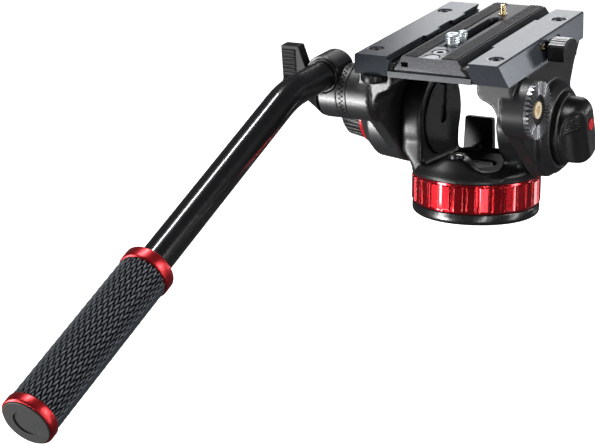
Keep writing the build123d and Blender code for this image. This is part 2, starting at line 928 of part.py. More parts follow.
def rosette_ring(direction, face, y, z):
    """A flat ring with radial teeth; direction is +1 when its teeth point to +X."""
    back = rosette_ring_thickness - rosette_tooth_height - rosette_meet_gap / 2
    ring_root = face - direction * rosette_ring_thickness
    ring = rod_x(rosette_radius, ring_root, ring_root + direction * back, y, z)
    ring -= rod_x(rosette_inner_radius, ring_root - cut_overrun, ring_root + back + cut_overrun, y, z)
    ring -= rod_x(rosette_inner_radius, ring_root - back - cut_overrun, ring_root + cut_overrun, y, z)
    tooth = rosette_tooth(direction, ring_root + direction * back, y, z)
    for each in around_x(tooth, rosette_tooth_count, y, z):
        ring += each
    return ring


def rosette_tooth(direction, root, y, z):
    half_turn = math.pi / rosette_tooth_count
    sections = []
    for radius in (rosette_inner_radius, rosette_radius):
        half = radius * math.sin(half_turn) * rosette_flank_share
        height = rosette_tooth_height * radius / rosette_radius
        sunk = root - direction * rosette_tooth_height / 4
        points = [
            Vector(sunk, y - half, z + radius * math.cos(half_turn)),
            Vector(root, y - half, z + radius * math.cos(half_turn)),
            Vector(root + direction * height, y, z + radius * math.cos(half_turn)),
            Vector(root, y + half, z + radius * math.cos(half_turn)),
            Vector(sunk, y + half, z + radius * math.cos(half_turn)),
        ]
        sections.append(Wire.make_polygon(points, close=True))
    return Solid.make_loft(sections, ruled=True)


def thread_insert(side):
    outer = rosette_face - insert_recess + insert_flange
    deep = rosette_face - insert_recess - insert_length
    seat = rosette_face - rosette_ring_thickness
    body = rod_x(insert_radius, side * deep, side * seat, -rosette_y, rosette_height)
    flange_reach = (side * seat, side * (outer - seat_gap))
    body += rod_x(insert_flange_radius, *flange_reach, -rosette_y, rosette_height)
    hole_reach = (side * (deep + cut_overrun), side * (outer + cut_overrun))
    return body - rod_x(bar_thread_radius, *hole_reach, -rosette_y, rosette_height)


def platform_plate():
    """Bed between the rails, with a tongue under each rail."""
    near = -platform_near + plate_near_setback
    far = platform_far - plate_far_setback
    body = block(-rail_inner_bottom, rail_inner_bottom, near, far, rail_bottom, plate_top)
    body += block(-tongue_half_width, tongue_half_width, -tongue_near, tongue_far, rail_bottom, plate_top)
    for side in (-1, 1):
        for hole in cheek_screw_bodies(side):
            body -= hole
    return body


def rail_outline(side):
    return [
        (side * rail_inner_bottom, rail_bottom),
        (side * rail_inner_bottom, plate_top),
        (side * rail_inner_top, rail_top),
        (side * rail_outer_top, rail_top),
        (side * rail_outer_bottom, rail_bottom),
    ]


def rail_ends(side, setback):
    """Side view between the rails' slanted ends, drawn in by a setback."""
    profile = [
        (-platform_near + setback, rail_top),
        (-platform_near + rail_near_setback + setback, rail_bottom),
        (platform_far - rail_far_setback - setback, rail_bottom),
        (platform_far - setback, rail_top),
    ]
    return slab_x(profile, 0, side * (rail_outer_bottom + cut_overrun))


def rail_notches(side):
    """Steps along the inner top edge, from near and far shares of the rail's length."""
    notches = []
    length = platform_near + platform_far
    for start, end in left_notch_shares if side < 0 else right_notch_shares:
        notches.append(
            block(
                side * (rail_inner_top - rail_notch_reach),
                side * (rail_inner_top + rail_notch_depth),
                -platform_near + start * length - cut_overrun * (start == 0),
                -platform_near + end * length + cut_overrun * (end == 1),
                rail_top - rail_notch_height,
                rail_top + cut_overrun,
            )
        )
    return notches


def rail(side):
    body = slab_y(rail_outline(side), -platform_near, platform_far)
    body = chamfer(body.edges().filter_by(Axis.Y).group_by(Axis.Z)[-1], soft_edge)
    body = body & rail_ends(side, 0)
    tongue_low = rail_bottom - cut_overrun
    body -= block(0, side * tongue_half_width, -tongue_near, tongue_far, tongue_low, plate_top)
    for notch in rail_notches(side):
        body -= notch
    for y in (-rail_screw_near, rail_screw_far):
        body -= rail_dish(side, y)
    for hole in rail_screw_bodies(side):
        body -= hole
    if side > 0:
        body -= lever_room()
        body -= button_room()
        body -= gib_stem_room()
        body -= lever_pin()
    return body


def rail_dish(side, y):
    wide = rail_dish_radius
    narrow = rail_screw_head_radius
    base = Plane(origin=(side * rail_screw_x, y, rail_top - rail_screw_sink), z_dir=(0, 0, 1))
    return Solid.make_cone(narrow, wide, rail_screw_sink + soft_edge / 4, base)


def rail_screw_bodies(side):
    screws = []
    head_top = rail_top - rail_screw_sink
    for y in (-rail_screw_near, rail_screw_far):
        screw = rod_z(rail_screw_radius, side * rail_screw_x, y, head_top - rail_screw_length, head_top)
        screw += rod_z(rail_screw_head_radius, side * rail_screw_x, y, head_top - rail_screw_head, head_top)
        screws.append(screw)
    return screws


def rail_screws():
    screws = []
    head_top = rail_top - rail_screw_sink
    for side in (-1, 1):
        for screw, y in zip(rail_screw_bodies(side), (-rail_screw_near, rail_screw_far)):
            floor = head_top - hex_socket_depth
            socket = rod_z(rail_socket_radius, side * rail_screw_x, y, floor, head_top + cut_overrun)
            screws.append(screw - socket)
    return grouped(screws)


def slide_side(z):
    """Half width of the sliding plate at a height, along its dovetail flank."""
    foot_top = slide_bottom() + slide_foot
    share = (z - foot_top) / (slide_top - foot_top)
    return slide_bottom_half + (slide_top_half - slide_bottom_half) * share


def slide_bottom():
    return plate_top + slide_bottom_gap


def guide_outline(side, back_clearance):
    """Section of a black guide that overhangs the plate's dovetail flank."""
    top = plate_top + guide_thickness
    foot_top = slide_bottom() + slide_foot
    rail_slope = (rail_inner_bottom - rail_inner_top) / (rail_top - plate_top)
    outer_low = rail_inner_bottom - back_clearance
    outer_top = rail_inner_bottom - rail_slope * guide_thickness - back_clearance
    return [
        (side * outer_low, plate_top),
        (side * (slide_bottom_half + guide_clearance), plate_top),
        (side * (slide_bottom_half + guide_clearance), foot_top),
        (side * (slide_side(top) + guide_clearance), top),
        (side * outer_top, top),
    ]


def plate_guide():
    body = slab_y(guide_outline(-1, gib_clearance), -platform_near, platform_far)
    return body & rail_ends(-1, guide_end_setback)


def plate_gib():
    """Right guide, which the lever presses on the plate; its back leaves it room to open."""
    body = slab_y(guide_outline(1, gib_clearance + gib_travel), -platform_near, platform_far)
    body = body & rail_ends(1, guide_end_setback)
    return Pos(0, 0, gib_clearance) * body + gib_stem()


def gib_stem_height():
    return plate_top + guide_thickness / 2


def gib_stem():
    start = rail_inner_bottom - 2 * gib_travel
    end = lever_pivot_x - lever_pivot_radius - gib_travel - seat_gap
    return rod_x(gib_stem_radius, start, end, lever_pivot_y, gib_stem_height())


def gib_stem_room():
    start = rail_inner_top - 2 * gib_travel
    return rod_x(gib_stem_radius + running_gap, start, lever_pivot_x, lever_pivot_y, gib_stem_height())


def lever_room():
    """Pocket in the right rail's flank for the lever's hub and link."""
    clear = seat_gap
    low = lever_bottom - clear
    high = lever_top + clear
    hub = rod_z(lever_pivot_radius + clear, lever_pivot_x, lever_pivot_y, low, high)
    link_near = lever_pivot_y - lever_link - clear
    return hub + block(lever_pivot_x, lever_inner, link_near, lever_pivot_y + clear, low, high)


def lever_heel_cut():
    """Slants the lever's far end, so that it clears the rail when it swings open."""
    points = [
        (lever_pivot_x, lever_pivot_y),
        (lever_pivot_x + lever_heel_start, lever_pivot_y - lever_heel),
        (lever_pivot_x + lever_heel_reach, lever_pivot_y),
        (lever_pivot_x + lever_heel_reach, lever_pivot_y + cut_overrun),
        (lever_pivot_x, lever_pivot_y + cut_overrun),
    ]
    face = make_face(Polyline(*points, close=True))
    return Pos(0, 0, lever_bottom - cut_overrun) * extrude(face, lever_height + 2 * cut_overrun)


def plate_lock_lever():
    hub = rod_z(lever_pivot_radius, lever_pivot_x, lever_pivot_y, lever_bottom, lever_top)
    paddle = block(lever_inner, lever_outer, -lever_tip, lever_pivot_y, lever_bottom, lever_top)
    paddle = fillet(paddle.edges().filter_by(Axis.Z).group_by(Axis.Y)[0], lever_tip_edge)
    paddle = fillet(paddle.edges().filter_by(Axis.Z).group_by(Axis.Y)[-1].sort_by(Axis.X)[-1], lever_corner)
    paddle = fillet(paddle.faces().sort_by(Axis.Z)[0].edges(), soft_edge)
    link_near = lever_pivot_y - lever_link
    link = block(lever_pivot_x, lever_inner + soft_edge, link_near, lever_pivot_y, lever_bottom, lever_top)
    body = paddle + link - lever_heel_cut() + hub
    pitch = (lever_tip + lever_pivot_y - lever_corner) / (lever_rib_count + 1)
    for step in range(1, lever_rib_count + 1):
        y = -lever_tip + step * pitch
        body += block(
            lever_inner + soft_edge,
            lever_outer - soft_edge,
            y - pitch / 4,
            y + pitch / 4,
            lever_top - lever_rib,
            lever_top + lever_rib,
        )
    return body - rod_z(lever_pin_radius + running_gap, lever_pivot_x, lever_pivot_y, lever_bottom, rail_top)


def lever_pin():
    return rod_z(lever_pin_radius, lever_pivot_x, lever_pivot_y, rail_bottom, rail_top - soft_edge)


def button_x():
    share = (rail_top - button_height) / (rail_top - rail_bottom)
    return rail_outer_top + (rail_outer_bottom - rail_outer_top) * share


def button_room():
    face = button_x()
    reach = face + 2 * cut_overrun
    room = rod_x(button_radius + running_gap, face - button_depth, reach, -button_y, button_height)
    return room + rod_x(button_collar_radius, face - button_collar, reach, -button_y, button_height)


def button_collar_ring():
    face = button_x()
    body = rod_x(button_collar_radius, face - button_collar, face + soft_edge, -button_y, button_height)
    bore = button_radius + running_gap
    return body - rod_x(bore, face - button_depth, face + cut_overrun, -button_y, button_height)


def release_button():
    end = button_x() + button_proud
    return rod_x(button_radius, end - button_length, end, -button_y, button_height)


# Sliding plate


def sliding_plate():
    foot_top = slide_bottom() + slide_foot
    outline = [
        (-slide_bottom_half, slide_bottom()),
        (slide_bottom_half, slide_bottom()),
        (slide_bottom_half, foot_top),
        (slide_top_half, slide_top),
        (-slide_top_half, slide_top),
        (-slide_bottom_half, foot_top),
    ]
    near = -slide_near
    far = near + slide_length
    body = slab_y(outline, near, far)
    slot = block(-slot_half_width, slot_half_width, -slot_near, slot_far, slide_bottom(), rail_top)
    slot = fillet(slot.edges().filter_by(Axis.Z), slot_half_width * slot_corner_share)
    body -= slot
    body -= block(
        -channel_half_width,
        channel_half_width,
        -slot_near - channel_half_width / 2,
        slot_far + channel_half_width / 2,
        slide_bottom() - cut_overrun,
        slide_bottom() + channel_height,
    )
    strip_low = slide_top - strip_thickness
    body -= block(-strip_half_width, strip_half_width, near - cut_overrun, -slot_near, strip_low, rail_top)
    notch_z = foot_top + notch_height / 2
    notch_end = near + notch_depth
    notch_side = notch_width / 2
    notch_sides = (-notch_x - notch_side, -notch_x + notch_side)
    body -= block(*notch_sides, near, notch_end, notch_z, notch_z + notch_height)
    body -= rod_z(video_pin_root_radius, 0, video_pin_y, slide_top - video_pin_base, rail_top)
    body -= rod_z(name_hole_radius, 0, -slot_near - strip_half_width, slide_top - video_pin_base, rail_top)
    return body


def plate_strip():
    near = -slide_near
    far = -slot_near - strip_overlap
    low = slide_top - strip_thickness
    body = block(-strip_half_width, strip_half_width, near + seat_gap, far, low, slide_top)
    hole_y = -slot_near - strip_half_width
    return body - rod_z(name_hole_radius, 0, hole_y, slide_top - cut_overrun, rail_top)


def plate_pads():
    near = -slide_near + pad_outer_inset
    far = -slide_near + slide_length - pad_outer_inset
    inner = strip_half_width + seat_gap
    outer = slide_top_half - pad_outer_inset
    pads = []
    rib_count = int((outer - inner) / pad_rib_pitch)
    bed_top = slide_top + pad_thickness - pad_rib_height
    for side in (-1, 1):
        pad = block(side * inner, side * outer, near, far, slide_top, bed_top)
        for step in range(rib_count):
            start = inner + pad_rib_pitch / 2 + pad_rib_pitch * step
            pad += block(
                side * start,
                side * (start + pad_rib_width),
                near,
                far,
                slide_top,
                slide_top + pad_thickness,
            )
        pads.append(pad)
    return grouped(pads)


def camera_rest():
    """Height of the pads, which a camera stands on."""
    return slide_top + pad_thickness


def camera_stud(radius, shank_radius, head_radius, y, above):
    """Captive camera screw: slotted head, relieved shank and a thread above the pads."""
    head_low = slide_bottom() + soft_edge / 2
    head_top = head_low + stud_head
    thread_low = camera_rest() + seat_gap
    body = rod_z(head_radius, 0, y, head_low, head_top)
    body += rod_z(shank_radius, 0, y, head_top, thread_low)
    body += rod_z(radius, 0, y, thread_low, slide_top + above)
    body = chamfer(body.edges().filter_by(GeomType.CIRCLE).sort_by(Axis.Z)[-1], soft_edge)
    slot_sides = (y - soft_edge, y + soft_edge)
    return body - block(-head_radius, head_radius, *slot_sides, head_low - cut_overrun, head_low + soft_edge)


def stud_clip(radius, y):
    """Retaining washer that keeps a camera screw in the slot and slides with it."""
    low = slide_bottom() + soft_edge / 2 + stud_head + running_gap
    top = low + clip_thickness
    body = block(-clip_half_width, clip_half_width, y - clip_half_length, y + clip_half_length, low, top)
    body = fillet(body.edges().filter_by(Axis.Z), soft_edge)
    return body - rod_z(radius + running_gap, 0, y, low - cut_overrun, low + cut_overrun)


def video_pin():
    flange_top = slide_top + video_pin_flange
    body = rod_z(video_pin_root_radius, 0, video_pin_y, slide_top - video_pin_base, flange_top)
    body += rod_z(video_pin_flange_radius, 0, video_pin_y, slide_top, flange_top)
    body += rod_z(video_pin_radius, 0, video_pin_y, flange_top, slide_top + video_pin_above)
    return chamfer(body.edges().filter_by(GeomType.CIRCLE).sort_by(Axis.Z)[-1], soft_edge / 2)


# Knobs on the tilt axis


def tilt_lock_knob():
    start = right_boss_end - lock_recess + seat_gap / 3
    flange_end = start + lock_flange
    body = rod_x(lock_flange_radius, start, flange_end)
    barrel = rod_x(lock_body_radius, flange_end - soft_edge, lock_body_end)
    barrel = fillet(barrel.edges().filter_by(GeomType.CIRCLE).sort_by(Axis.X)[-1], lock_edge)
    reach = lock_body_radius + cut_overrun
    for side in (-1, 1):
        scoop_centre = side * (lock_bar_half + lock_scoop_radius)
        scoop = rod_z(lock_scoop_radius, 0, 0, -reach, reach)
        scoop = scoop + block(0, lock_body_end, -lock_scoop_radius, lock_scoop_radius, -reach, reach)
        scoop = Pos(lock_scoop_floor + lock_scoop_radius, scoop_centre, tilt_axis_height) * scoop
        outer = block(
            lock_scoop_floor + lock_scoop_radius / 2,
            lock_body_end + cut_overrun,
            scoop_centre,
            side * reach * 2,
            tilt_axis_height - reach,
            tilt_axis_height + reach,
        )
        barrel -= scoop
        barrel -= outer
    inside = rod_x(lock_body_radius - lock_edge / 2, flange_end, lock_body_end - lock_edge / 2)
    for step in range(lock_rib_count):
        low = tilt_axis_height + lock_rib_top - step * lock_rib_pitch
        for side in (-1, 1):
            centre = (lock_scoop_floor + lock_scoop_radius, side * (lock_bar_half + lock_scoop_radius))
            rib = rod_z(lock_scoop_radius + lock_rib, *centre, low, low + lock_rib_width)
            rib -= rod_z(lock_scoop_radius - lock_rib, *centre, low - cut_overrun, low + cut_overrun)
            barrel += rib & inside
    body += barrel
    cap_z = tilt_axis_height + lock_cap_height
    body -= rod_x(lock_cap_radius, lock_body_end - lock_cap, lock_body_end + cut_overrun, 0, cap_z)
    body = body.rotate(Axis((0, 0, tilt_axis_height), (1, 0, 0)), lock_bar_lean)
    stem = rod_x(lock_stem_radius, cheek_outer - lock_stem_length + seat_gap, start + soft_edge)
    return body + stem


def tilt_lock_cap():
    z = tilt_axis_height + lock_cap_height
    body = rod_x(lock_cap_radius, lock_body_end - lock_cap, lock_body_end + soft_edge, 0, z)
    body = fillet(body.edges().filter_by(GeomType.CIRCLE).sort_by(Axis.X)[-1], lock_cap_edge)
    return body.rotate(Axis((0, 0, tilt_axis_height), (1, 0, 0)), lock_bar_lean)


def tilt_drag_red():
    start = left_boss_end + seat_gap / 3
    body = rod_x(drag_red_radius, -start, -start - drag_red)
    body = chamfer(body.edges().filter_by(GeomType.CIRCLE), soft_edge / 2)
    return body - rod_x(lock_stem_radius, -start + cut_overrun, -start - drag_red - cut_overrun)


def tilt_drag_knob():
    start = left_boss_end + seat_gap / 3 + drag_red
    end = start + drag_knob_length
    body = lathe_x(
        [
            (-start, 0),
            (-start, drag_knob_root_radius),
            (-end + drag_knob_edge, drag_knob_end_radius),
            (-end, drag_knob_end_radius - drag_knob_edge),
            (-end, 0),
        ]
    )
    narrowing = drag_knob_root_radius - drag_knob_end_radius
    slant = math.degrees(math.atan2(narrowing, drag_knob_length - drag_knob_edge))
    groove_mid = (drag_knob_root_radius + drag_knob_end_radius) / 2
    groove = Cylinder(drag_knob_rib, drag_knob_length * 2).rotate(Axis.Y, 90 - slant)
    groove = Pos(-(start + end) / 2, 0, tilt_axis_height + groove_mid + drag_knob_groove_lift) * groove
    for each in around_x(groove, drag_knob_rib_count):
        body -= each
    stem = rod_x(lock_stem_radius, -(cheek_outer - lock_stem_length + seat_gap), -start - soft_edge)
    body += stem
    index_z = tilt_axis_height + drag_index_height
    return body - rod_x(drag_index_radius, -end - cut_overrun, -end + drag_index, 0, index_z)


# Pan bar, drawn level with its socket along Y


def clamp_body():
    face = rosette_face + rosette_ring_thickness
    barrel = rod_x(rosette_radius, -face, -clamp_body_end, -rosette_y, rosette_height)
    socket = rod_y(socket_radius, -bar_plane, -socket_near, -socket_far, socket_axis_height)
    socket = fillet(socket.edges().filter_by(GeomType.CIRCLE).sort_by(Axis.Y)[-1], socket_edge)
    body = barrel + socket
    body -= block(-face, 0, -platform_near * 2, platform_far, 0, rail_top * 2)
    near = -rosette_y - rosette_radius - cut_overrun
    body -= rod_y(tube_radius, -bar_plane, near, -socket_near + tube_inside_socket, socket_axis_height)
    body -= rod_y(collar_radius, -bar_plane, near, -socket_near, socket_axis_height)
    hole_reach = (-face + cut_overrun, -clamp_cone_end - cut_overrun)
    body -= rod_x(bolt_hole_radius, *hole_reach, -rosette_y, rosette_height)
    return body


def clamp_cone():
    """Black tapered spacer between the clamp and the wing knob."""
    body = lathe_x(
        [
            (-clamp_body_end, 0),
            (-clamp_body_end, clamp_cone_root - clamp_groove_depth),
            (-clamp_body_end - clamp_groove, clamp_cone_root - clamp_groove_depth),
            (-clamp_body_end - clamp_groove, clamp_cone_root),
            (-clamp_cone_end, clamp_cone_tip),
            (-clamp_cone_end, 0),
        ],
        -rosette_y,
        rosette_height,
    )
    socket = rod_y(socket_radius, -bar_plane, -socket_near, -socket_far, socket_axis_height)
    collar = rod_y(collar_radius + seat_gap, -bar_plane, -platform_near, -socket_near, socket_axis_height)
    body = body - socket - collar
    hole_reach = (-clamp_body_end + cut_overrun, -clamp_cone_end - cut_overrun)
    return body - rod_x(bolt_hole_radius, *hole_reach, -rosette_y, rosette_height)


def clamp_knob():
    """Wing knob with its bolt; the wing points up in the photograph."""
    inner_top = wing_hub_start + wing_top_step
    inner_low = wing_hub_start + wing_low_step
    outline = [
        (-wing_outer, rosette_height),
        (-wing_outer, rosette_height + wing_top),
        (-inner_top, rosette_height + wing_top),
        (-inner_low, rosette_height + wing_shoulder),
        (-inner_low, rosette_height),
    ]
    wing = slab_y(outline, -rosette_y - wing_thickness / 2, -rosette_y + wing_thickness / 2)
    wing = fillet(wing.edges().filter_by(Axis.Y).group_by(Axis.Z)[-1], wing_edge)
    pad_low = rosette_height + wing_pad_low
    pad_step = (wing_pad_top - wing_pad_low) / wing_rib_count
    for step in range(wing_rib_count):
        z = pad_low + pad_step / 2 + pad_step * step
        rib = block(
            -wing_outer + soft_edge,
            -wing_outer + wing_pad_width,
            -rosette_y - wing_thickness / 2 - wing_rib,
            -rosette_y + wing_thickness / 2 + wing_rib,
            z - pad_step / 4,
            z + pad_step / 4,
        )
        wing += rib
    hub = rod_x(wing_hub_radius, -wing_hub_start, -wing_outer + soft_edge, -rosette_y, rosette_height)
    hub = fillet(hub.edges().filter_by(GeomType.CIRCLE).sort_by(Axis.X)[0], wing_edge)
    bolt_room = (-wing_hub_start + cut_overrun, -wing_outer + wing_bolt_cover)
    return wing + hub - rod_x(bolt_shank_radius, *bolt_room, -rosette_y, rosette_height)


def clamp_bolt():
    insert_mouth = rosette_face - insert_recess + insert_flange
    tip = rosette_face - insert_recess - insert_length + 2 * cut_overrun
    shank = rod_x(bolt_shank_radius, -tip, -wing_outer + wing_bolt_cover, -rosette_y, rosette_height)
    thread = rod_x(bar_thread_radius - running_gap, -tip, -insert_mouth, -rosette_y, rosette_height)
    return shank + thread


def bar_frame():
    """Start of the bend, the straight run's direction and its two ends."""
    drop = math.radians(bar_drop_angle)
    direction = Vector(0, -math.cos(drop), -math.sin(drop))
    corner = Vector(-bar_plane, -bar_bend_y, socket_axis_height)
    return corner, direction


def bar_point(distance):
    """A point on the straight run, measured back from the end cap's face."""
    corner, direction = bar_frame()
    return corner + direction * (bar_length - distance)


def bar_rod(radius, start, end):
    """A rod on the straight run between two distances from the end cap's face."""
    direction = bar_frame()[1]
    base = Plane(origin=bar_point(start), x_dir=(1, 0, 0), z_dir=direction * -1)
    return Solid.make_cylinder(radius, end - start, base)


def bar_tube():
    corner, direction = bar_frame()
    inside = Vector(-bar_plane, -socket_near + tube_inside_socket, socket_axis_height)
    foot = bar_point(end_cap_thickness)
    path = FilletPolyline(inside, corner, foot, radius=bar_bend_radius)
    annulus = Circle(tube_radius) - Circle(tube_radius - tube_wall)
    section = Plane(origin=inside, z_dir=(0, -1, 0)) * annulus
    return sweep(section, path)


def tube_collar():
    body = rod_y(collar_radius, -bar_plane, -socket_near - collar_length, -socket_near, socket_axis_height)
    body = fillet(body.edges().filter_by(GeomType.CIRCLE).sort_by(Axis.Y)[0], soft_edge)
    reach = (-socket_near - collar_length - cut_overrun, -socket_near + cut_overrun)
    return body - rod_y(tube_radius, -bar_plane, *reach, socket_axis_height)


def grip_sleeve():
    body = bar_rod(grip_radius, lower_ring_length, grip_group_length - upper_ring_length)
    return body - bar_rod(tube_radius, 0, grip_group_length)


def grip_ring(start, length, bore):
    body = bar_rod(ring_radius, start, start + length)
    body = chamfer(body.edges().filter_by(GeomType.CIRCLE), soft_edge)
    return body - bar_rod(bore, start - cut_overrun, start + length + cut_overrun)


def end_cap():
    body = bar_rod(end_cap_radius, -end_cap_proud, end_cap_thickness)
    lip = body.edges().filter_by(GeomType.CIRCLE).sort_by(Axis.Y)[0]
    body = fillet(lip, end_cap_edge)
    return body - bar_rod(end_cap_dish_radius, -end_cap_proud - cut_overrun, end_cap_dish - end_cap_proud)


def lower_grip_ring():
    body = grip_ring(0, lower_ring_length, tube_radius)
    return body - bar_rod(end_cap_radius, -cut_overrun, end_cap_thickness)


def upper_grip_ring():
    return grip_ring(grip_group_length - upper_ring_length, upper_ring_length, tube_radius)


os.makedirs("parts", exist_ok=True)

save(base_cup(), "base_cup")
save(tripod_bush(), "tripod_bush")
save(base_screws(), "base_screws")
save(pan_drag_unit(), "pan_drag_unit")
save(pan_spindle(), "pan_spindle")
save(pan_nut(), "pan_nut")
save(thrust_washer(), "thrust_washer")
save(pan_drag_ring(), "pan_drag_ring")
save(pan_housing(), "pan_housing")
save(level_bezel(), "level_bezel")
save(level_vial(), "level_vial")
save(arm_cover(-1, True), "left_arm_cover")
save(arm_cover(1, False), "right_arm_cover")
save(arm_cover_screws(), "arm_cover_screws")
save(tilt_unit(-1), "tilt_drag_cartridge")
save(tilt_unit(1), "balance_unit")
save(pan_lock_lever(), "pan_lock_lever")

save(tilt_shaft(-1), "left_tilt_shaft", True)
save(tilt_shaft(1), "right_tilt_shaft", True)
save(cheek(-1), "left_cheek", True)
save(cheek(1), "right_cheek", True)
save(cheek_screws(), "cheek_screws", True)
save(platform_plate(), "platform_plate", True)
save(left_end_block(), "left_end_block", True)
save(rail(-1), "left_rail", True)
save(rail(1), "right_rail", True)
save(rail_screws(), "rail_screws", True)
save(plate_guide(), "plate_guide", True)
save(plate_gib(), "plate_gib", True)
save(plate_lock_lever(), "plate_lock_lever", True)
save(lever_pin(), "lever_pin", True)
save(release_button(), "release_button", True)
save(button_collar_ring(), "button_collar", True)
save(rosette_ring(-1, -rosette_face, -rosette_y, rosette_height), "left_rosette", True)
save(rosette_ring(1, rosette_face, -rosette_y, rosette_height), "right_rosette", True)
save(thread_insert(-1), "left_insert", True)
save(thread_insert(1), "right_insert", True)
save(tilt_lock_knob(), "tilt_lock_knob", True)
save(tilt_lock_cap(), "tilt_lock_cap", True)
save(tilt_drag_red(), "tilt_drag_red", True)
save(tilt_drag_knob(), "tilt_drag_knob", True)

save(sliding_plate(), "sliding_plate", True)
save(plate_strip(), "plate_strip", True)
save(plate_pads(), "plate_pads", True)
large_sizes = (large_stud_radius, large_shank_radius, large_stud_head_radius)
large_screw = camera_stud(*large_sizes, -large_stud_y, large_stud_above)
save(large_screw, "large_camera_screw", True)
small_sizes = (small_stud_radius, small_shank_radius, small_stud_head_radius)
small_screw = camera_stud(*small_sizes, -small_stud_y, small_stud_above)
save(small_screw, "small_camera_screw", True)
save(stud_clip(large_shank_radius, -large_stud_y), "large_screw_clip", True)
save(stud_clip(small_shank_radius, -small_stud_y), "small_screw_clip", True)
save(video_pin(), "video_pin", True)

save(clamp_body(), "bar_clamp", True)
save(clamp_cone(), "clamp_spacer", True)
save(rosette_ring(1, -rosette_face, -rosette_y, rosette_height), "bar_rosette", True)
save(clamp_knob(), "clamp_knob", True)
save(clamp_bolt(), "clamp_bolt", True)
save(bar_tube(), "bar_tube", True)
save(tube_collar(), "tube_collar", True)
save(grip_sleeve(), "grip", True)
save(upper_grip_ring(), "upper_grip_ring", True)
save(lower_grip_ring(), "lower_grip_ring", True)
save(end_cap(), "end_cap", True)
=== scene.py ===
import math

import bmesh
import bpy
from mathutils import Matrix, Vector


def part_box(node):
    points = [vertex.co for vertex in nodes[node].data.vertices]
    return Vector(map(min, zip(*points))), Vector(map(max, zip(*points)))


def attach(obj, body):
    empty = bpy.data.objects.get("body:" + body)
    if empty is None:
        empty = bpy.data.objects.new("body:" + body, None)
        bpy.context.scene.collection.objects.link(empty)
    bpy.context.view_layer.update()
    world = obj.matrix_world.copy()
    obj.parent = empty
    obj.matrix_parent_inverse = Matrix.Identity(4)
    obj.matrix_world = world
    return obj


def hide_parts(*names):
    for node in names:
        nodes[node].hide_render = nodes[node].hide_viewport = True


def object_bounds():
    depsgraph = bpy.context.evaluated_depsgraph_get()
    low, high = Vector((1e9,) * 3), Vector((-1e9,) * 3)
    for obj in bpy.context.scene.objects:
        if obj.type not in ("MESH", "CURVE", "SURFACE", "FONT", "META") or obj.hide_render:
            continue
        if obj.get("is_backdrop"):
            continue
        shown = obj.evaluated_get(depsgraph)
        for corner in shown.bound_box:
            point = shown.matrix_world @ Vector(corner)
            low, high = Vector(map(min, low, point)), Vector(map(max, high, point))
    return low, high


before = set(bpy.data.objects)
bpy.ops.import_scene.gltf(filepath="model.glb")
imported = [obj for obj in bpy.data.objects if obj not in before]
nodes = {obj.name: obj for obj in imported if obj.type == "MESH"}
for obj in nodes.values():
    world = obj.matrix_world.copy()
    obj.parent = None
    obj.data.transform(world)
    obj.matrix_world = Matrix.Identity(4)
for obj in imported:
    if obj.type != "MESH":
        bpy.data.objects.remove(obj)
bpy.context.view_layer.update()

MM = 0.001

# The photograph's camera
CAMERA_PLACE = Vector((0.513, -1.1265, 0.3142))
CAMERA_AIM = Vector((-0.4882, 0.8351, -0.2533))
CAMERA_LENS = 108.9
CAMERA_SENSOR = 36.0
CAMERA_CLIP = 0.05

# The platform's pitch about the tilt axis, as the model rests
PITCH = math.radians(7)
TILT_HEIGHT = 66 * MM


def level(x, y, z):
    """A point of the pitched group, given in millimetres as it lies when the platform is level."""
    y, z = y * MM, z * MM - TILT_HEIGHT
    turned_y = y * math.cos(PITCH) - z * math.sin(PITCH)
    turned_z = y * math.sin(PITCH) + z * math.cos(PITCH)
    return Vector((x * MM, turned_y, TILT_HEIGHT + turned_z))


def level_height(place):
    """Height in millimetres of a point of the pitched group, as it lies when the platform is level."""
    rise = place.z - TILT_HEIGHT
    return (rise * math.cos(PITCH) - place.y * math.sin(PITCH) + TILT_HEIGHT) / MM


def level_reach(node):
    """Lowest and highest level height of a node of the pitched group."""
    heights = [level_height(vertex.co) for vertex in nodes[node].data.vertices]
    return min(heights), max(heights)


# Materials

# Noise and relief values between these two drive a material from one end of its range to the other
DRIVE_LOW = 0.3
DRIVE_HIGH = 0.7


def relief_value(share):
    """The relief attribute's value for a share from 0, the valleys, to 1, the crests."""
    return DRIVE_LOW + (DRIVE_HIGH - DRIVE_LOW) * share


